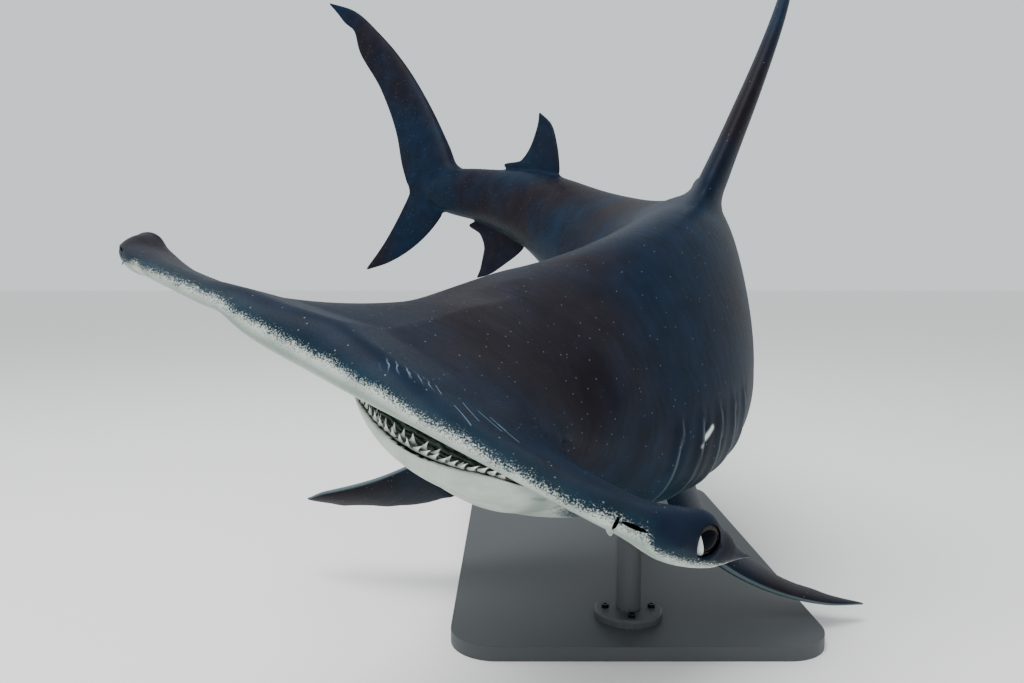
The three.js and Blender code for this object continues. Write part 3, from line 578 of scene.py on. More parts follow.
def fins():
    """Every fin as a solid on the straight axes, with the reach and rounds of its smoothed root."""
    pelvic_root = (0.478, 0.034, -0.036)
    return [
        (fin_solid("first_dorsal", edge(
            (0, 0.258, 0.045), (0.15, 0.271, 0.072), (0.35, 0.29, 0.106), (0.5, 0.305, 0.137),
            (0.65, 0.321, 0.165), (0.8, 0.343, 0.196), (0.92, 0.371, 0.222), (1, 0.3985, 0.2355)), edge(
            (0, 0.352, 0.045), (0.12, 0.386, 0.08), (0.2, 0.366, 0.09), (0.35, 0.351, 0.113),
            (0.5, 0.347, 0.137), (0.65, 0.351, 0.163), (0.8, 0.362, 0.191), (0.92, 0.381, 0.218),
            (1, 0.4, 0.235)),
            curve((0, 0.016), (0.1, 0.0115), (0.2, 0.0082), (0.5, 0.0056), (0.85, 0.003), (1, 0.0007)),
            median), 0.05, 30),
        (fin_solid("second_dorsal", edge(
            (0, 0.598, 0.02), (0.25, 0.608, 0.043), (0.55, 0.621, 0.066), (0.8, 0.634, 0.082),
            (1, 0.6495, 0.0895)), edge(
            (0, 0.65, 0.018), (0.2, 0.681, 0.034), (0.35, 0.66, 0.042), (0.6, 0.651, 0.062),
            (0.8, 0.6495, 0.078), (1, 0.651, 0.089)), SMALL_FIN_THICK, median), 0.02, 16),
        (fin_solid("anal", edge(
            (0, 0.616, -0.018), (0.25, 0.63, -0.042), (0.55, 0.65, -0.061), (0.8, 0.669, -0.076),
            (1, 0.685, -0.083)), edge(
            (0, 0.682, -0.015), (0.2, 0.712, -0.032), (0.35, 0.694, -0.039), (0.6, 0.684, -0.055),
            (0.8, 0.684, -0.071), (1, 0.6865, -0.0825)), SMALL_FIN_THICK, median), 0.02, 16),
        (fin_solid("upper_lobe", edge(
            (0, 0.72, 0.02), (0.05, 0.738, 0.0235), (0.12, 0.7555, 0.047), (0.3, 0.789, 0.0915),
            (0.5, 0.8265, 0.1355), (0.7, 0.865, 0.1725), (0.88, 0.904, 0.203), (1, 0.9345, 0.214)), edge(
            (0, 0.72, -0.02), (0.05, 0.75, -0.0225), (0.12, 0.79, -0.012), (0.25, 0.812, 0.018),
            (0.4, 0.828, 0.06), (0.58, 0.856, 0.11), (0.76, 0.89, 0.155), (0.86, 0.9, 0.179),
            (0.9, 0.9125, 0.1885), (0.95, 0.923, 0.2), (1, 0.9355, 0.2128)),
            curve((0, 0.013), (0.12, 0.0095), (0.35, 0.006), (0.7, 0.0035), (1, 0.0006)),
            median), 0.04, 30),
        (fin_solid("lower_lobe", edge(
            (0, 0.742, -0.006), (0.2, 0.757, -0.034), (0.5, 0.783, -0.062), (0.8, 0.818, -0.084),
            (1, 0.8445, -0.0935)), edge(
            (0, 0.798, 0.014), (0.2, 0.8005, -0.006), (0.4, 0.808, -0.026), (0.7, 0.826, -0.062),
            (1, 0.8465, -0.0925)),
            curve((0, 0.0022), (0.25, 0.0038), (0.5, 0.003), (0.8, 0.002), (1, 0.0005)),
            median), 0.02, 16),
        (fin_solid("pectoral_left", **PECTORAL_SHAPE, put=paired(
            1, PECTORAL_ROOT, 33, -0.063, 3.7, 0.28, 8.3, 0.9), **PAIRED_LOOK), 0.035, 24),
        (fin_solid("pectoral_right", **PECTORAL_SHAPE, put=paired(
            -1, PECTORAL_ROOT, 22.4, -0.35, 5.2, -0.19, 51, 1.02), **PAIRED_LOOK), 0.035, 24),
        (fin_solid("pelvic_left", **PELVIC_SHAPE, put=paired(1, pelvic_root, 44), **PAIRED_LOOK), 0.02, 16),
        (fin_solid("pelvic_right", **PELVIC_SHAPE, put=paired(-1, pelvic_root, 44), **PAIRED_LOOK), 0.02, 16),
    ]


# ---------------------------------------------------------------- eyes, nostrils and gills

EYE_S = 0.0303
EYE_B = 0.0024
EYE_INSET = 0.006
EYE_RADIUS = 0.0053
EYE_FORWARD = 38
EYE_OPENING = (11.6 * MM, 14.8 * MM)
LID_THICK = 2.8 * MM
SOCKET_GAP = 1.2 * MM


def eye_frame(side):
    """Centre, outward axis and forward axis of an eye on the straight body, as (a, s, b)."""
    reach = HEAD_HALF * side_margin((EYE_S - 0.0202) / (REAR_CORNER_S - 0.019))
    if side < 0:
        reach *= 1 - FAR_SHORTER
    centre = np.array([side * (reach - EYE_INSET), EYE_S, EYE_B])
    turn = math.radians(EYE_FORWARD)
    outward = np.array([side * math.cos(turn), -math.sin(turn), 0])
    forward = np.array([-side * math.sin(turn), -math.cos(turn), 0])
    return centre, outward, forward


def ball(name, centre, radius, rings=24, around=36):
    polar = np.linspace(0, np.pi, rings + 1)
    turn = np.linspace(0, 2 * np.pi, around, endpoint=False)
    sections = [centre + radius * np.stack([np.sin(p) * np.cos(turn), np.sin(p) * np.sin(turn),
                                            np.full(around, np.cos(p))], -1) for p in polar]
    return loft(name, sections, False, False)


def eye_opening(side):
    """A tapered oval plug along the eye's axis, which opens the lids."""
    centre, outward, forward = eye_frame(side)
    turn = np.linspace(0, 2 * np.pi, 48, endpoint=False)
    rings = []
    for out, scale in ((0.0022, 0.75), (0.0044, 0.97), (0.0056, 1.05), (0.0085, 1.4)):
        wide, tall = EYE_OPENING
        rings.append((centre + outward * out + np.outer(np.cos(turn) * wide * scale, forward)
                      + np.outer(np.sin(turn) * tall * scale, [0, 0, 1])) * LENGTH)
    return loft("opening", rings)


def membrane(name, side):
    """The pale third lid: a thin cap on the ball, at the front and lower side of the opening."""
    centre, outward, forward = eye_frame(side)
    axis = forward * 0.8 - np.array([0, 0, 0.6]) - outward * 0.12
    axis /= np.linalg.norm(axis)
    one = np.cross(axis, [0, 0, 1.0])
    one /= np.linalg.norm(one)
    two = np.cross(axis, one)
    turn = np.linspace(0, 2 * np.pi, 64, endpoint=False)
    circle = np.outer(np.cos(turn), one) + np.outer(np.sin(turn), two)
    rings = []
    for polar, lift in [(p, 0.8) for p in np.linspace(3, 75, 24)] + [(77, 0.62), (77.5, 0.42), (76, 0.25)] + [
            (p, 0.25) for p in np.linspace(74, 3, 20)]:
        angle = math.radians(polar)
        rings.append((centre + (EYE_RADIUS + lift * MM) * (math.cos(angle) * axis + math.sin(angle) * circle))
                     * LENGTH)
    return loft(name, rings)


# Nostrils: a slit along the front margin, a notch at its inner end and a small flap beside the notch.
# Each cut: name, inner and outer end, depth, half height, and height of its middle
NOSTRIL_CUTS = (("slit", 0.0958, 0.1022, 0.0036, 0.0006, 0.0003),
                ("notch", 0.0946, 0.0956, 0.0022, 0.0019, -0.0007))
NOSTRIL_SIDES = 16
FLAP_A = 0.0943
FLAP_TOP = -0.0022
FLAP_HEIGHT = 0.0019
FLAP_HALF = 0.001
FLAP_THICK = 0.00025


def margin_point(side, a, inward, b):
    """A straight body point on the front margin at breadth a, moved inward and to height b, in shares."""
    x = a / HEAD_HALF
    slope = (front_margin(x + 0.01) - front_margin(x - 0.01)) / (0.02 * HEAD_HALF)
    into = np.array([-slope, 1.0]) / math.hypot(slope, 1)
    at_a = a + into[0] * inward
    at_s = front_margin(x) + into[1] * inward
    if side < 0:
        at_a = at_a * (1 - FAR_SHORTER * ease((x - 0.6) / 0.4))
        b = b + far_lift(at_s, x)
    return straight(at_s, side * at_a, b)


def section(side, a, spread, height, middle):
    """A lens-shaped section of a nostril cut, from the margin to the inside."""
    turn = np.linspace(0, 2 * np.pi, NOSTRIL_SIDES, endpoint=False)
    return np.array([margin_point(side, a, 0.0008 - spread * math.cos(k), middle + height * math.sin(k))
                     for k in turn])


def nostril(side):
    """The slit and the notch, as cutters whose walls take painted shade."""
    cutters = []
    for name, low, high, depth, height, middle in NOSTRIL_CUTS:
        rings = []
        for t in np.linspace(0.02, 0.98, 11):
            swell = math.sin(math.pi * t) ** 0.6
            spread = depth * (0.6 + 0.4 * swell)
            rings.append(section(side, low + (high - low) * t, spread, height * swell, middle))
        cutters.append(loft(name, rings, crease=np.full((len(rings), NOSTRIL_SIDES), -1.0)))
    return cutters


def nostril_flap(side):
    """The small skin flap that hangs beside the notch."""
    rings = []
    turn = np.linspace(0, 2 * np.pi, NOSTRIL_SIDES, endpoint=False)
    for t in np.linspace(0, 1, 9):
        wide = FLAP_HALF * math.sqrt(max(1 - t * t, 0.01))
        rings.append(np.array([
            margin_point(side, FLAP_A + wide * math.cos(k) + 0.0008 * t, 0.0014 + FLAP_THICK * math.sin(k),
                         FLAP_TOP - FLAP_HEIGHT * t) for k in turn]))
    return loft("flap", rings)


GILL_LINES = (0.168, 0.1835, 0.199, 0.2145, 0.23)
GILL_SLANT = 0.006
GILL_ANGLES = (-52, 8)


def gills(body):
    """Raises the flaps in front of the gill slits, sinks the skin behind them, and paints shade in each
    groove and a highlight along each flap.
    """
    points = points_of(body)
    a, s, b = points.T / LENGTH
    angle = np.degrees(np.arctan2(b, np.abs(a)))
    low, high = GILL_ANGLES
    window = ease((angle - low) / 9) * ease((high - angle) / 9) * (read_values(body, "fin") < 0.5)
    across = (angle - (low + high) / 2) / (high - low)
    move, crease = np.zeros(len(points)), read_values(body, "crease")
    for line in GILL_LINES:
        past = (s - line - GILL_SLANT * across * np.abs(across) * 2) * LENGTH * 1000
        flap = np.where(past < 0, 3.4 * ease((past + 24) / 21), -3.2 * ease(1 - past / 13))
        move += flap * window
        # Painted shade in the groove behind each flap, and a painted highlight on the flap just in front of
        # it
        groove = ease(1 - np.abs(past - 2.2) / 4)
        lit = ease(1 - np.abs(past + 4) / 5)
        crease += window * (0.55 * lit - groove)
    move_points(body, points + normals_of(body) * move[:, None] / 1000)
    write_values(body, "crease", np.clip(crease, -1, 1))


# ---------------------------------------------------------------- skin

# Where the dark of the back ends on the front margin, as a height over the middle of the margin
pale_line = curve((0, 0.0022), (0.022, 0.0027), (0.043, 0.0011), (0.057, 0.0008), (0.079, -0.0004),
                  (0.093, -0.0006), (0.0965, -0.0002), (0.102, -0.0003), (0.1045, -0.0034), (0.122, -0.0052))

# On the trunk, the pale side starts this share of the way down to the belly. Behind the middle the share
# passes 1, so the underside of the rear body and tail is painted dark: painted shade over its paler skin.
pale_depth = curve((0.08, 0.25), (0.1, 0.38), (0.115, 0.52), (0.14, 0.8), (0.18, 0.9), (0.26, 0.8),
                   (0.45, 0.88), (0.58, 1.15), (0.8, 1.4))


def normals_of(item):
    flat = np.empty(len(item.data.vertices) * 3, np.float32)
    item.data.vertex_normals.foreach_get("vector", flat)
    return flat.reshape(-1, 3).astype(float)


def lip_gap(a, s):
    """Distance in metres from the outer line of the lower lip, inwards."""
    line_s = np.linspace(0.0755, 0.12, 160)
    line_a = lip_half(line_s)
    return np.min(np.hypot(np.abs(a)[:, None] - line_a, s[:, None] - line_s), 1) * LENGTH


def shade(body):
    """Stores what the hide's material reads.

    body is the place on the straight body, lift the height over the pale line (1 is fully dark, -1
    fully pale), and the third value is below 0 where shade is painted in slits and hollows, above 0
    where a highlight is painted along edges.
    """
    points = points_of(body)
    a, s, b = points.T / LENGTH
    x = np.abs(a) / HEAD_HALF
    upward = normals_of(body)[:, 2]
    # On the front margin the height over the pale line counts, behind it the way the skin faces
    lower = np.where(a < 0, far_lift(s, x) - 0.0032 * ease((x - 0.62) / 0.16), 0)
    margin = (b - lower - pale_line(np.abs(a))) * LENGTH / 0.008
    faces = 2.6 * (upward + 0.6 * ease((x - 0.8) / 0.05))
    behind = ease((s - front_margin(x) - 0.006) / 0.008)
    head = np.minimum(margin * (1 - behind) + faces * behind, 3 - 5.5 * ease((-0.004 - b) / 0.004))
    # On the trunk the share of the way down to the belly counts, and the flank behind the plate is dark
    trunk = (7 - 4 * ease((s - 0.1) / 0.05)) * (b / np.maximum(belly_drop(s), 0.02) + pale_depth(s))
    share = ease((s - 0.078 + 0.01 * ease((np.abs(a) - 0.04) / 0.006)) / 0.012)
    lift = np.clip(head * (1 - share) + trunk * share, -4, 4)
    flank = ease((s - 0.071) / 0.003) * ease((np.abs(a) - 0.04) / 0.004) * ease((b + 0.014) / 0.006)
    lift = np.maximum(lift, 2.4 * flank - 4 * (flank < 0.01))
    # Each fin has its own tone, which fades in over its root
    every = np.ones(len(points))
    fin = read_values(body, "fin")
    near = smoothed(body, fin, every, 9)
    tone = smoothed(body, read_values(body, "tone") * fin, every, 9) / np.maximum(near, 1e-4)
    lift += (np.clip(tone, -4, 4) - lift) * ease(near)
    # Painted shade inside the eye sockets, and on the floor of the mouth away from the lip
    crease = read_values(body, "crease")
    for side in (1, -1):
        centre, _, _ = eye_frame(side)
        gap = np.linalg.norm(points / LENGTH - centre, axis=1) / MM
        crease = np.where(gap < (EYE_RADIUS + SOCKET_GAP) / MM + 0.5, -1, crease)
    inside = (s > 0.0745) & (s < CORNER_S + 0.03) & (b < PALATE_B) & (np.abs(a) < lip_half(s))
    inside &= (np.abs(b + LINING - mouth_floor(s, a)) < 0.8 * MM) & (upward > 0.2)
    crease[inside] = -ease((lip_gap(a[inside], s[inside]) - 0.002) / 0.002)
    write_values(body, "lift", lift)
    write_values(body, "crease", crease)
    write_values(body, "body", points)


def build_skin():
    """The whole skin: head, trunk, jaw and fins joined, opened for eyes, nostrils and mouth, and bent."""
    body = loft("skin", head_rings() + trunk_rings(), cap_front=False)
    for key in ("fin", "tone", "crease"):
        write_values(body, key, np.zeros(len(body.data.vertices)))
    join_smoothly(body, jaw_solid(), 0.012, 12)
    # Rounds the ledge behind the plate, the shoulder on both sides, and the far side's top
    points = points_of(body)
    a, s, b = points.T / LENGTH
    flank = ease((s - 0.072) / 0.006) * ease((0.15 - s) / 0.02) * ease((0.018 - np.abs(b + 0.002)) / 0.008)
    move_points(body, smoothed(body, points, flank * (np.abs(a) > 0.035), 90))
    points = points_of(body)
    shoulder = ease((s - 0.055) / 0.01) * ease((0.125 - s) / 0.02) * ease((b + 0.003) / 0.003)
    shoulder *= ease((np.abs(a) - 0.022) / 0.01) * ease((0.062 - np.abs(a)) / 0.008)
    move_points(body, smoothed(body, points, shoulder, 40))
    far = ease((s - 0.035) / 0.02) * ease((0.15 - s) / 0.02) * ease((b + 0.002) / 0.004)
    far *= ease((-a - 0.012) / 0.015) * ease((0.085 + a) / 0.015)
    move_points(body, smoothed(body, points_of(body), far, 130))
    for fin, reach, rounds in fins():
        join_smoothly(body, fin, reach, rounds)
    gills(body)
    for side in (1, -1):
        centre = eye_frame(side)[0] * LENGTH
        join_smoothly(body, ball("lids", centre, (EYE_RADIUS + LID_THICK) * LENGTH), 0.012, 12)
        combine(body, ball("socket", centre, (EYE_RADIUS + SOCKET_GAP) * LENGTH, 32, 48), "DIFFERENCE")
        combine(body, eye_opening(side), "DIFFERENCE")
        join_smoothly(body, nostril_flap(side), 0.002, 2)
        for cutter in nostril(side):
            combine(body, cutter, "DIFFERENCE")
    combine(body, mouth_hollow(LINING), "DIFFERENCE")
    shade(body)
    move_points(body, bend(points_of(body)))
    return body


# ---------------------------------------------------------------- materials

def colour(code):
    """sRGB hex to linear RGBA."""
    parts = [int(code[i:i + 2], 16) / 255 for i in (1, 3, 5)]
    return tuple(p / 12.92 if p <= 0.04045 else ((p + 0.055) / 1.055) ** 2.4 for p in parts) + (1.0,)


def add_node(tree, kind, inputs=None, out=0, **settings):
    """Adds one node and returns its output out. Each input, by name or index, takes a socket or a value."""
    node = tree.nodes.new(kind)
    for name, value in settings.items():
        setattr(node, name, value)
    for key, value in (inputs or {}).items():
        if isinstance(value, bpy.types.NodeSocket):
            tree.links.new(value, node.inputs[key])
        else:
            node.inputs[key].default_value = value
    return node.outputs[out]


def new_material(name, code="#808080", roughness=0.5):
    material = bpy.data.materials.new(name)
    material.use_nodes = True
    tree = material.node_tree
    shader = tree.nodes["Principled BSDF"]
    shader.inputs["Base Color"].default_value = colour(code)
    shader.inputs["Roughness"].default_value = roughness
    return material, tree, shader


def near_line(tree, place, start, end, radius):
    """A share that is 1 on the line from start to end and falls to 0 at radius, all in shares."""
    start, end = Vector(start) * LENGTH, Vector(end) * LENGTH
    run = end - start
    away = add_node(tree, "ShaderNodeVectorMath", {0: place, 1: start}, operation="SUBTRACT")
    along = add_node(tree, "ShaderNodeVectorMath", {0: away, 1: run / run.length_squared},
                     operation="DOT_PRODUCT", out="Value")
    share = add_node(tree, "ShaderNodeClamp", {"Value": along})
    foot = add_node(tree, "ShaderNodeVectorMath", {0: run, "Scale": share}, operation="SCALE")
    gap = add_node(tree, "ShaderNodeVectorMath", {0: away, 1: foot}, operation="DISTANCE", out="Value")
    return add_node(tree, "ShaderNodeMapRange", {
        "Value": gap, "From Min": 0.0, "From Max": radius * LENGTH, "To Min": 1.0, "To Max": 0.0},
        interpolation_type="SMOOTHSTEP")


# Pale marks on the straight body, in shares: start, end and radius. The scratches are seen from above.
SCRATCHES = (((0.0433, 0.0133, 0), (0.0522, 0.0087, 0)), ((0.0415, 0.0207, 0), (0.0512, 0.0142, 0)),
             ((0.0455, 0.0231, 0), (0.0565, 0.0182, 0)), ((0.0528, 0.0225, 0), (0.0624, 0.0175, 0)),
             ((0.0490, 0.0245, 0), (0.0560, 0.0215, 0)))
SCRATCH_RADIUS = 0.00032
SCUFF = ((0.0235, 0.0085, 0), (0.0365, 0.0155, 0), 0.0036)
GILL_SCAR = ((0.0652, 0.1912, -0.0028), (0.0662, 0.1828, -0.0085), 0.0021)
CHIN_MARK = ((0.0425, 0.1, -0.0272), (0.045, 0.1035, -0.028), 0.0026)


def shark_hide(settings):
    """Shark hide: a satin gloss from tiny skin teeth; slate above, cream below, speckled between; painted
    shade in slits and hollows, painted highlights along edges.
    """
    material, tree, shader = new_material("shark_hide", "#22303e", 0.42)
    shader.inputs["Specular IOR Level"].default_value = 0.06
    place, lift, crease = (
        add_node(tree, "ShaderNodeAttribute", out=out, attribute_name=name)
        for name, out in (("body", "Vector"), ("lift", "Fac"), ("crease", "Fac")))
    # Speckles of 1.5 mm, blotches of 40 mm and clouds of 300 mm
    speckle, blotch, cloud = (
        add_node(tree, "ShaderNodeTexNoise", {"Vector": place, "Scale": 1 / size, "Detail": detail})
        for size, detail in ((settings.speckle_size, 3.0), (0.04, 4.0), (0.3, 3.0)))

    # How dark the skin is, with a speckled edge to the pale side
    ragged = lift
    for noise, strength in ((speckle, 3.4), (blotch, 1.6)):
        ragged = add_node(tree, "ShaderNodeMath", {0: noise, 1: strength, 2: ragged},
                          operation="MULTIPLY_ADD")
    dark = add_node(tree, "ShaderNodeMapRange", {"Value": ragged, "From Min": 1.9, "From Max": 3.1},
                    interpolation_type="SMOOTHSTEP")

    # Shares from 0 to 1, each drawn from a value between two limits. Two of them are a painted highlight
    # along edges and painted shade in slits and hollows.
    clouded, low_flank, patchy, flecked, stained, specked, lit, deep, gloss = (
        add_node(tree, "ShaderNodeMapRange", {
            "Value": value, "From Min": low, "From Max": high, "To Min": least, "To Max": most})
        for value, low, high, least, most in (
            (cloud, 0.4, 0.62, 0.0, 1.0),
            (lift, 0.4, 2.2, 0.45, 0.0),
            (blotch, 0.35, 0.65, 0.78, 1.18),
            (add_node(tree, "ShaderNodeTexVoronoi", {"Vector": place, "Scale": 85.0}), 0.05, 0.09, 0.5, 0.0),
            (blotch, 0.38, 0.68, 0.0, 0.6),
            (speckle, 0.56, 0.72, 0.0, 0.5),
            (crease, 0.1, 0.9, 0.0, 1.0),
            (crease, -0.2, -0.9, 0.0, 1.0),
            (speckle, 0.3, 0.7, 0.4, 0.55)))

    # Scratches, and a scuffed patch of fine lines 6 mm apart
    above = add_node(tree, "ShaderNodeVectorMath", {0: place, 1: (1, 1, 0)}, operation="MULTIPLY")
    lines = add_node(tree, "ShaderNodeTexWave", {
        "Vector": place, "Scale": 50.0, "Distortion": 6.0, "Detail": 3.0, "Detail Scale": 0.8},
        out="Fac", bands_direction="DIAGONAL")
    lines = add_node(tree, "ShaderNodeMapRange", {"Value": lines, "From Min": 0.88, "From Max": 0.99})
    worn = add_node(tree, "ShaderNodeMath", {0: near_line(tree, above, *SCUFF), 1: lines},
                    operation="MULTIPLY")
    for start, end in SCRATCHES:
        scratch = near_line(tree, above, start, end, SCRATCH_RADIUS)
        worn = add_node(tree, "ShaderNodeMath", {0: worn, 1: scratch}, operation="MAXIMUM")
    worn = add_node(tree, "ShaderNodeMath", {0: worn, 1: 0.45}, operation="MULTIPLY")

    # A dark blotchy mark on the chin, and painted grey-green shade in a band along the front margin under the
    # speckles
    dark_chin_mark = add_node(tree, "ShaderNodeMath", {0: near_line(tree, place, *CHIN_MARK), 1: blotch},
                      operation="MULTIPLY")
    shade_low, shade_high = (
        add_node(tree, "ShaderNodeMapRange", {"Value": lift, "From Min": low, "From Max": high},
                 interpolation_type="SMOOTHSTEP") for low, high in ((-2.6, -1.5), (-0.2, -1.3)))
    painted_margin_shade = add_node(tree, "ShaderNodeMath", {0: shade_low, 1: shade_high}, operation="MULTIPLY")
    painted_margin_shade = add_node(tree, "ShaderNodeMath", {0: painted_margin_shade, 1: 0.55}, operation="MULTIPLY")

    # The back: slate with plum-brown clouds, lighter and greener low on the flanks, with pale flecks
    back, belly = settings.back_colour, settings.belly_colour
    for share, over in ((clouded, settings.tint_colour), (low_flank, settings.flank_colour)):
        back = add_node(tree, "ShaderNodeMix", {0: share, 6: back, 7: over}, data_type="RGBA", out=2)
    back = add_node(tree, "ShaderNodeVectorMath", {0: back, "Scale": patchy}, operation="SCALE")
    for share, code in ((worn, "#7f97ac"), (flecked, "#7f93a0")):
        back = add_node(tree, "ShaderNodeMix", {0: share, 6: back, 7: colour(code)}, data_type="RGBA", out=2)

    # The pale side: cream with faint grey stains, a dark mark on the chin and a band of painted shade along
    # the front margin; then both together, with the scar, the painted highlights along edges and the painted
    # shade in slits and hollows
    for share, code in ((stained, "#98a19a"), (specked, "#7d8780"), (dark_chin_mark, "#20272a"), (painted_margin_shade, "#5d7069")):
        belly = add_node(tree, "ShaderNodeMix", {0: share, 6: belly, 7: colour(code)},
                         data_type="RGBA", out=2)
    skin = add_node(tree, "ShaderNodeMix", {0: dark, 6: belly, 7: back}, data_type="RGBA", out=2)
    for share, code in ((near_line(tree, place, *GILL_SCAR), "#dfe6e2"), (lit, "#64767b"), (deep, "#07090b")):
        skin = add_node(tree, "ShaderNodeMix", {0: share, 6: skin, 7: colour(code)}, data_type="RGBA", out=2)
    tree.links.new(skin, shader.inputs["Base Color"])
    tree.links.new(gloss, shader.inputs["Roughness"])

    # The grain is drawn at 1.6 mm, coarser than real skin teeth, so that it shows; folds are 25 mm apart
    grain = add_node(tree, "ShaderNodeTexNoise", {"Vector": place, "Scale": 620.0, "Detail": 2.0})
    folds = add_node(tree, "ShaderNodeTexWave", {
        "Vector": place, "Scale": 13.0, "Distortion": 9.0, "Detail": 2.0, "Detail Scale": 1.4},
        out="Fac", bands_direction="Y")
    bump = add_node(tree, "ShaderNodeBump", {"Height": folds, "Strength": 0.1, "Distance": 0.0012})
    bump = add_node(tree, "ShaderNodeBump", {
        "Height": grain, "Strength": 0.35, "Distance": 0.0006, "Normal": bump})
    tree.links.new(bump, shader.inputs["Normal"])
    return material


def mouth_membrane():
    """Wet mouth lining: a dark grey-green membrane with glossy folds 9 mm apart."""
    material, tree, shader = new_material("wet_mouth_membrane", "#2c3632", 0.22)
    place = add_node(tree, "ShaderNodeTexCoord", out="Object")
    folds = add_node(tree, "ShaderNodeTexWave", {
        "Vector": place, "Scale": 35.0, "Distortion": 7.0, "Detail": 3.0, "Detail Scale": 1.2},
        bands_direction="DIAGONAL", out="Fac")
    skin = add_node(tree, "ShaderNodeMix", {0: folds, 6: colour("#38443f"), 7: colour("#8b9a92")},
                    data_type="RGBA", out=2)
    tree.links.new(skin, shader.inputs["Base Color"])
    bump = add_node(tree, "ShaderNodeBump", {"Height": folds, "Strength": 0.8, "Distance": 0.003})
    tree.links.new(bump, shader.inputs["Normal"])
    return material


def enamel():
    """Tooth enamel: smooth and glossy, ivory white at the cusp and greyer where it leaves the gum."""
    material, tree, shader = new_material("tooth_enamel", "#e4e4dc", 0.22)
    height = add_node(tree, "ShaderNodeAttribute", attribute_name="height", out="Fac")
    share = add_node(tree, "ShaderNodeMapRange", {"Value": height, "From Min": 0.0, "From Max": 0.45})
    tone = add_node(tree, "ShaderNodeMix", {0: share, 6: colour("#a7a89c"), 7: colour("#eeeee8")},
                    data_type="RGBA", out=2)
    tree.links.new(tone, shader.inputs["Base Color"])
    return material


def eyeball(settings):
    """Polished glass eye: a wide blue-black pupil, a narrow brown-grey iris with rays, a dark rim."""
    material, tree, shader = new_material("glass_eye", "#05070c", 0.06)
    shader.inputs["Specular IOR Level"].default_value = 0.04
    gaze = add_node(tree, "ShaderNodeAttribute", attribute_name="gaze", out="Fac")
    place = add_node(tree, "ShaderNodeTexCoord", out="Object")
    rays = add_node(tree, "ShaderNodeTexNoise", {"Vector": place, "Scale": 700.0, "Detail": 2.0})
    iris = add_node(tree, "ShaderNodeMix", {0: rays, 6: colour("#25211e"), 7: settings.iris_colour},
                    data_type="RGBA", out=2)
    share = add_node(tree, "ShaderNodeMapRange", {"Value": gaze, "From Min": 33.0, "From Max": 35.0})
    tone = add_node(tree, "ShaderNodeMix", {0: share, 6: colour("#03050b"), 7: iris}, data_type="RGBA", out=2)
    share = add_node(tree, "ShaderNodeMapRange", {"Value": gaze, "From Min": 45.0, "From Max": 50.0})
    tone = add_node(tree, "ShaderNodeMix", {0: share, 6: tone, 7: colour("#0a0c0f")}, data_type="RGBA", out=2)
    tree.links.new(tone, shader.inputs["Base Color"])
    return material


def third_lid():
    """Third eyelid: a moist pale membrane, grey-white and faintly veined."""
    material, tree, shader = new_material("eyelid_membrane", "#c9d0cf", 0.3)
    place = add_node(tree, "ShaderNodeTexCoord", out="Object")
    veins = add_node(tree, "ShaderNodeTexNoise", {"Vector": place, "Scale": 250.0, "Detail": 3.0})
    tone = add_node(tree, "ShaderNodeMix", {0: veins, 6: colour("#dfe4e2"), 7: colour("#a3acac")},
                    data_type="RGBA", out=2)
    tree.links.new(tone, shader.inputs["Base Color"])
    return material


def powder_coat(settings):
    """Steel with a matte powder coat: a fine orange-peel bump and a soft broad gloss."""
    material, tree, shader = new_material("powder_coated_steel", roughness=0.55)
    shader.inputs["Base Color"].default_value = settings.stand_colour
    place = add_node(tree, "ShaderNodeTexCoord", out="Object")
    peel = add_node(tree, "ShaderNodeTexNoise", {"Vector": place, "Scale": 420.0, "Detail": 2.0})
    bump = add_node(tree, "ShaderNodeBump", {"Height": peel, "Strength": 0.25, "Distance": 0.0004})
    tree.links.new(bump, shader.inputs["Normal"])
    return material


def screw_steel():
    """Blackened steel of the screws: darker than the coat, with a metal's tight gloss."""
    material, _, shader = new_material("blackened_steel", "#23262a", 0.32)
    shader.inputs["Metallic"].default_value = 1.0
    return material


# ---------------------------------------------------------------- what repeats: teeth and screws

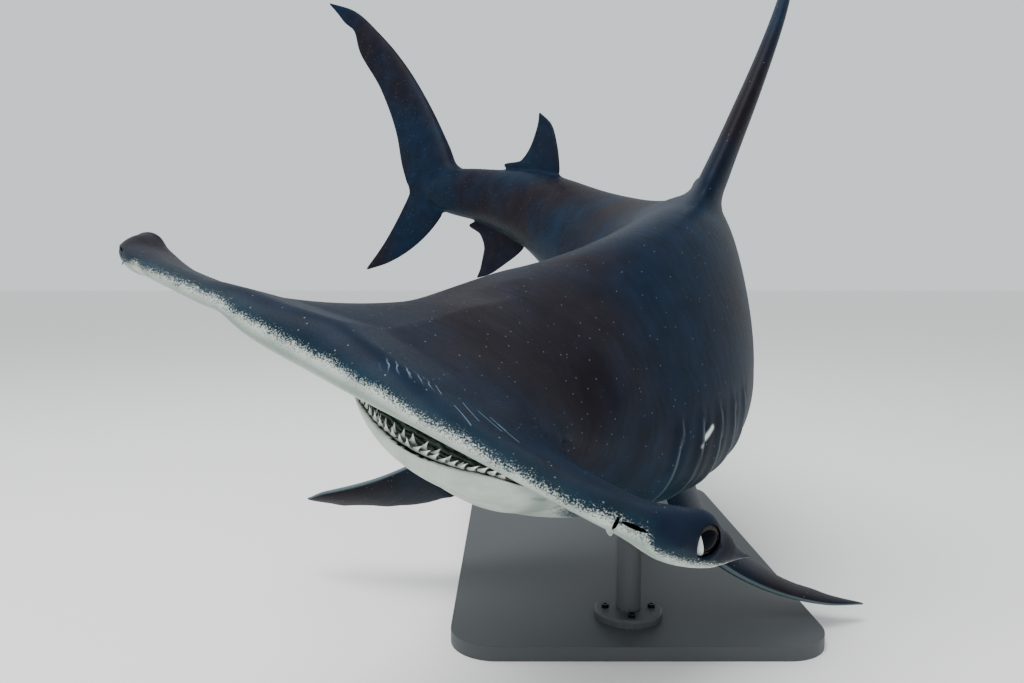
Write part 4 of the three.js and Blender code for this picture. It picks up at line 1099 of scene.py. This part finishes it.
def along_line_tree():
    """Geometry Nodes: puts a thing at even steps along a line, turned by its up and along vectors."""
    tree = bpy.data.node_groups.new("along_line", "GeometryNodeTree")
    for name, kind in (("Line", "Geometry"), ("Thing", "Object"), ("Count", "Int"), ("Size", "Float"),
                       ("Variation", "Float"), ("Seed", "Int"), ("Material", "Material")):
        tree.interface.new_socket(name=name, in_out="INPUT", socket_type="NodeSocket" + kind)
    tree.interface.new_socket(name="Line", in_out="OUTPUT", socket_type="NodeSocketGeometry")
    given = tree.nodes.new("NodeGroupInput").outputs
    curve_line = add_node(tree, "GeometryNodeMeshToCurve", {"Mesh": given["Line"]})
    steps = add_node(tree, "GeometryNodeResampleCurve", {"Curve": curve_line, "Count": given["Count"]})
    up, along = (add_node(tree, "GeometryNodeInputNamedAttribute", {"Name": name},
                          data_type="FLOAT_VECTOR") for name in ("up", "along"))
    stance = add_node(tree, "FunctionNodeAxesToRotation", {"Primary Axis": up, "Secondary Axis": along},
                      primary_axis="Z", secondary_axis="X")
    sway = add_node(tree, "FunctionNodeRandomValue", {
        0: (-0.5, -0.5, -0.5), 1: (0.5, 0.5, 0.5), "Seed": given["Seed"]}, data_type="FLOAT_VECTOR")
    sway = add_node(tree, "ShaderNodeVectorMath", {0: sway, "Scale": given["Variation"]},
                    operation="SCALE")
    turned = add_node(tree, "FunctionNodeRotateRotation", {
        "Rotation": stance, "Rotate By": add_node(tree, "FunctionNodeEulerToRotation", {0: sway})},
        rotation_space="LOCAL")
    least = add_node(tree, "ShaderNodeMath", {0: 1.0, 1: given["Variation"]}, operation="SUBTRACT")
    growth = add_node(tree, "FunctionNodeRandomValue", {2: least, 3: 1.0, "Seed": given["Seed"]},
                      data_type="FLOAT", out=1)
    growth = add_node(tree, "ShaderNodeMath", {0: growth, 1: given["Size"]}, operation="MULTIPLY")
    thing = add_node(tree, "GeometryNodeObjectInfo", {"Object": given["Thing"]}, out="Geometry")
    copies = add_node(tree, "GeometryNodeInstanceOnPoints", {
        "Points": steps, "Instance": thing, "Rotation": turned, "Scale": growth})
    real = add_node(tree, "GeometryNodeRealizeInstances", {0: copies})
    painted = add_node(tree, "GeometryNodeSetMaterial", {"Geometry": real, "Material": given["Material"]})
    tree.links.new(painted, tree.nodes.new("NodeGroupOutput").inputs[0])
    return tree


def repeat_along(line, **given):
    """Runs the tree on a line and returns the copies as plain mesh data; the line is discarded."""
    tree = bpy.data.node_groups.get("along_line") or along_line_tree()
    modifier = line.modifiers.new("repeat", "NODES")
    modifier.node_group = tree
    for socket in tree.interface.items_tree:
        if socket.in_out == "INPUT" and socket.name in given:
            modifier[socket.identifier] = given[socket.name]
    graph = bpy.context.evaluated_depsgraph_get()
    mesh = bpy.data.meshes.new_from_object(line.evaluated_get(graph))
    line.modifiers.clear()
    discard(line)
    return mesh


def guide(points, up, along, closed=False):
    """A line of points that carry the up and along vectors."""
    mesh = bpy.data.meshes.new("guide")
    edges = [(i, i + 1) for i in range(len(points) - 1)] + [(len(points) - 1, 0)] * closed
    mesh.from_pydata(np.asarray(points).tolist(), edges, [])
    item = bpy.data.objects.new("guide", mesh)
    bpy.context.scene.collection.objects.link(item)
    write_values(item, "up", np.asarray(up))
    write_values(item, "along", np.asarray(along))
    return item


def gather(name, meshes):
    """One object from several meshes."""
    work = bmesh.new()
    for mesh in meshes:
        work.from_mesh(mesh)
    joined = bpy.data.meshes.new(name)
    work.to_mesh(joined)
    work.free()
    for mesh in meshes:
        bpy.data.meshes.remove(mesh)
    item = bpy.data.objects.new(name, joined)
    bpy.context.scene.collection.objects.link(item)
    return item


def tooth(slant):
    """One blade-shaped tooth, 1 high, with its cusp slanted along x and its root below 0."""
    turn = np.linspace(0, 2 * np.pi, 8, endpoint=False)
    rings, heights = [], []
    for z, half, shift, thick in ((-0.2, 0.52, 0, 0.15), (0, 0.64, 0, 0.17), (0.1, 0.57, 0.04, 0.15),
                                  (0.28, 0.35, 0.2, 0.11), (0.55, 0.19, 0.45, 0.075),
                                  (0.8, 0.09, 0.72, 0.045), (1, 0.012, 1, 0.01)):
        rings.append(np.stack([slant * shift + half * np.cos(turn), thick * np.sin(turn), np.full(8, z)], -1))
        heights.append(np.full(8, z))
    return loft("tooth", rings, height=heights)


# Rows of teeth: inset from the lip in mm, spacing in mm, size next to the front row, slant, up or down
TOOTH_ROWS = ((5.6, 12.4, 1.0, 0.85, 1), (19, 16, 1.3, 0.35, 1), (33, 18, 1.0, 0.3, 1),
              (9, 12.5, 1.0, 0.6, -1), (19, 15, 0.9, 0.4, -1))


def tooth_line(inset, upward):
    """The line of a row of teeth round the jaw, with its vectors, on the bent body."""
    side_s = np.linspace(CORNER_S - 0.004, 0.0768, 50)
    front_s = 0.0755 + 0.0013 * np.linspace(0.95, 0.1, 12) ** 2
    half_s = np.concatenate([side_s, front_s])
    s = np.concatenate([half_s, half_s[::-1]])
    a = lip_half(s) * np.repeat([1, -1], len(half_s))
    walked = np.concatenate([[0], np.cumsum(np.hypot(np.diff(a), np.diff(s)))])
    even = np.linspace(0, walked[-1], 120)
    a, s = np.interp(even, walked, a), np.interp(even, walked, s)
    run_a, run_s = np.gradient(a), np.gradient(s)
    size = np.hypot(run_a, run_s)
    a, s = a + run_s / size * inset * MM, s - run_a / size * inset * MM
    b = mouth_floor(s, a) if upward > 0 else np.full(len(a), PALATE_B)
    toward = np.where(np.arange(len(a)) < len(a) / 2, -1, 1)[:, None]
    place = straight(s, a, b)
    up = np.tile([0.0, 0.0, float(upward)], (len(a), 1))
    along = np.stack([run_a, run_s, 0 * run_a], -1) / size[:, None] * toward
    at = bend(place)
    return guide(at, bend(place + up * 0.001) - at, bend(place + along * 0.001) - at), walked[-1] * LENGTH


def screw():
    """One socket screw head, 1 in radius, with a recess."""
    turn = np.linspace(0, 2 * np.pi, 12, endpoint=False)
    rings = [np.stack([r * np.cos(turn), r * np.sin(turn), np.full(12, z)], -1)
             for r, z in ((1, 0), (1, 0.8), (0.88, 0.95), (0.5, 0.95), (0.46, 0.4))]
    return loft("screw", rings)


# ---------------------------------------------------------------- stand and studio measures

# Collar screws, in metres: circle they stand on, radius of a head, height of the collar's top
SCREW_CIRCLE = 0.041
SCREW_RADIUS = 0.0065
COLLAR_TOP = 0.014

FLOOR_REACH = 30  # metres from the middle to the floor's edge

# The picture's width, middle row and horizon row in pixels. The lens, in pixels too, is a judgement: the
# pose was fitted to it, and a longer one would fit a little better. Camera's place in metres.
PICTURE_WIDTH_PX = 1024
PICTURE_MIDDLE_PX = 341.5
HORIZON_PX = 275
FOCAL_PX = 780
CAMERA_AT = (-0.2145, -1.71072, 0.627)


# ---------------------------------------------------------------- add-on

def finished(item, materials, slot, *nodes):
    """Gives a piece its materials and smooth shading, hangs it on the root and hides the parts it stands for.
    """
    if not item.data.polygons:
        raise RuntimeError(item.name + " came out empty")
    item.data.materials.clear()
    for material in materials:
        item.data.materials.append(material)
    item.data.shade_smooth()
    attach(item, "root")
    if nodes:
        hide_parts(*nodes)


def colour_property(name, description, code):
    return FloatVectorProperty(name=name, description=description, subtype="COLOR", size=4, min=0, max=1,
                               default=colour(code))


class SharkSettings(bpy.types.PropertyGroup):
    back_colour: colour_property("Back", "Colour of the back and of the top of the head", "#0b1a2b")
    tint_colour: colour_property("Clouds", "Second colour in the large clouds on the back", "#17131a")
    flank_colour: colour_property("Flank", "Colour low on the sides, above the pale line", "#17343e")
    belly_colour: colour_property("Belly", "Colour of the underside and of the lower jaw", "#bcc4bc")
    iris_colour: colour_property("Iris", "Colour of the ring round the pupil", "#4a4440")
    stand_colour: colour_property("Stand", "Colour of the powder coat on the stand", "#3a3d40")
    speckle_size: FloatProperty(
        name="Speckle size", description="Size of the speckles where dark skin meets pale skin",
        unit="LENGTH", min=0.001, max=0.05, default=0.0015)
    tooth_height: FloatProperty(
        name="Tooth height", description="Height of a tooth in the front row", unit="LENGTH",
        min=0.002, max=0.02, default=0.0088)
    screw_count: IntProperty(
        name="Collar screws", description="Screws in each collar of the stand", min=3, max=12, default=4)


class SHARK_OT_skin(bpy.types.Operator):
    """Builds the whole skin as one mesh"""
    bl_idname = "shark.skin"
    bl_label = "Skin"

    def execute(self, context):
        finished(build_skin(), [shark_hide(context.scene.shark)], "shark_skin", *FLESH_NODES)
        return {"FINISHED"}


class SHARK_OT_mouth(bpy.types.Operator):
    """Builds the lining of the mouth"""
    bl_idname = "shark.mouth"
    bl_label = "Mouth lining"

    def execute(self, context):
        lining = mouth_hollow(LINING)
        lining.name = "mouth_lining"
        combine(lining, jaw_solid(LIP_RIM), "INTERSECT")
        combine(lining, mouth_hollow(), "DIFFERENCE")
        move_points(lining, bend(points_of(lining)))
        finished(lining, [mouth_membrane()], "mouth_lining")
        return {"FINISHED"}


class SHARK_OT_teeth(bpy.types.Operator):
    """Builds the rows of teeth in both jaws"""
    bl_idname = "shark.teeth"
    bl_label = "Teeth"

    def execute(self, context):
        material = enamel()
        rows = []
        for seed, (inset, spacing, size, slant, upward) in enumerate(TOOTH_ROWS):
            line, length = tooth_line(inset, upward)
            one = tooth(slant)
            rows.append(repeat_along(
                line, Thing=one, Count=2 * round(length * 500 / spacing),
                Size=context.scene.shark.tooth_height * size, Variation=0.22, Seed=seed, Material=material))
            discard(one)
        finished(gather("teeth", rows), [material], "teeth")
        return {"FINISHED"}


class SHARK_OT_eyes(bpy.types.Operator):
    """Builds both eyes with their third lids"""
    bl_idname = "shark.eyes"
    bl_label = "Eyes"

    def execute(self, context):
        glass, lid = eyeball(context.scene.shark), third_lid()
        for name, side in (("eye_left", 1), ("eye_right", -1)):
            centre, outward, _ = eye_frame(side)
            eye = ball(name + "_ball", centre * LENGTH, EYE_RADIUS * LENGTH, 48, 64)
            direction = (points_of(eye) / LENGTH - centre) / EYE_RADIUS
            write_values(eye, "gaze", np.degrees(np.arccos(np.clip(direction @ outward, -1, 1))))
            move_points(eye, bend(points_of(eye)))
            finished(eye, [glass], "eye", name)
            cap = membrane(name + "_third_lid", side)
            move_points(cap, bend(points_of(cap)))
            finished(cap, [lid], "pale_skin")
        return {"FINISHED"}


class SHARK_OT_stand(bpy.types.Operator):
    """Gives the stand its powder coat and the screws in its collars"""
    bl_idname = "shark.stand"
    bl_label = "Stand finish"

    def execute(self, context):
        settings = context.scene.shark
        coat, steel = powder_coat(settings), screw_steel()
        for name in ("stand_base", *ROD_NODES):
            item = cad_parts[name]
            item.data.materials.clear()
            item.data.materials.append(coat)
        one = screw()
        heads = []
        turn = np.linspace(0, 2 * np.pi, 48, endpoint=False)
        for seed, name in enumerate(ROD_NODES):
            low, high = (np.array(corner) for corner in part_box(name))
            middle = (low + high) / 2
            ring = np.stack([middle[0] + SCREW_CIRCLE * np.cos(turn), middle[1] + SCREW_CIRCLE * np.sin(turn),
                             np.full(48, low[2] + COLLAR_TOP)], -1)
            up = np.tile([0.0, 0.0, 1.0], (48, 1))
            along = np.stack([np.cos(turn), np.sin(turn), 0 * turn], -1)
            heads.append(repeat_along(
                guide(ring, up, along, True), Thing=one, Count=settings.screw_count, Size=SCREW_RADIUS,
                Variation=0.0, Seed=seed, Material=steel))
        discard(one)
        screws = gather("collar_screws", heads)
        finished(screws, [steel], "stand_steel")
        screws.data.shade_flat()
        return {"FINISHED"}


class SHARK_OT_studio(bpy.types.Operator):
    """Sets the floor, the lights and the camera"""
    bl_idname = "shark.studio"
    bl_label = "Studio"

    def execute(self, context):
        scene = context.scene
        far = FLOOR_REACH
        floor = mesh_object("floor", [(-far, -far, 0), (far, -far, 0), (far, far, 0), (-far, far, 0)],
                            [(0, 1, 2, 3)])
        floor.data.materials.append(new_material("studio_floor", "#f1f0ec", 0.7)[0])
        world = bpy.data.worlds.new("studio")
        world.use_nodes = True
        world.node_tree.nodes["Background"].inputs["Color"].default_value = colour("#e9f0f4")
        world.node_tree.nodes["Background"].inputs["Strength"].default_value = 1.1
        scene.world = world
        for name, place, aim, power, extent in (
                ("key", (-1.2, -1.0, 4.0), (0, 0.2, 0.5), 190, 2.6),
                ("low_fill", (-0.9, -3.4, 0.35), (-0.1, -0.9, 0.45), 22, 1.8)):
            light = bpy.data.lights.new(name, "AREA")
            light.energy = power
            light.size = extent
            lamp = bpy.data.objects.new(name, light)
            scene.collection.objects.link(lamp)
            turn = (Vector(aim) - Vector(place)).to_track_quat("-Z", "Y")
            lamp.matrix_world = Matrix.Translation(place) @ turn.to_matrix().to_4x4()
        camera = bpy.data.cameras.new("camera")
        camera.sensor_width = 36
        camera.lens = 36 * FOCAL_PX / PICTURE_WIDTH_PX
        camera.clip_start = 0.01
        holder = bpy.data.objects.new("camera", camera)
        scene.collection.objects.link(holder)
        pitch = math.atan((PICTURE_MIDDLE_PX - HORIZON_PX) / FOCAL_PX)
        holder.location = CAMERA_AT
        holder.rotation_euler = (math.pi / 2 - pitch, 0, 0)
        scene.camera = holder
        return {"FINISHED"}


class SHARK_PT_panel(bpy.types.Panel):
    bl_idname = "SHARK_PT_panel"
    bl_label = "Shark"
    bl_space_type = "VIEW_3D"
    bl_region_type = "UI"
    bl_category = "Shark"

    def draw(self, context):
        for step in STEPS:
            self.layout.operator(step.bl_idname)
        for name in SharkSettings.__annotations__:
            self.layout.prop(context.scene.shark, name)


STEPS = (SHARK_OT_skin, SHARK_OT_mouth, SHARK_OT_teeth, SHARK_OT_eyes, SHARK_OT_stand, SHARK_OT_studio)
CLASSES = (SharkSettings, *STEPS, SHARK_PT_panel)


def register():
    for item in CLASSES:
        bpy.utils.register_class(item)
    bpy.types.Scene.shark = PointerProperty(type=SharkSettings)


def unregister():
    del bpy.types.Scene.shark
    for item in reversed(CLASSES):
        bpy.utils.unregister_class(item)


def main():
    register()
    bpy.ops.shark.skin()
    bpy.ops.shark.mouth()
    bpy.ops.shark.teeth()
    bpy.ops.shark.eyes()
    bpy.ops.shark.stand()
    bpy.ops.shark.studio()


if __name__ == "__main__":
    main()
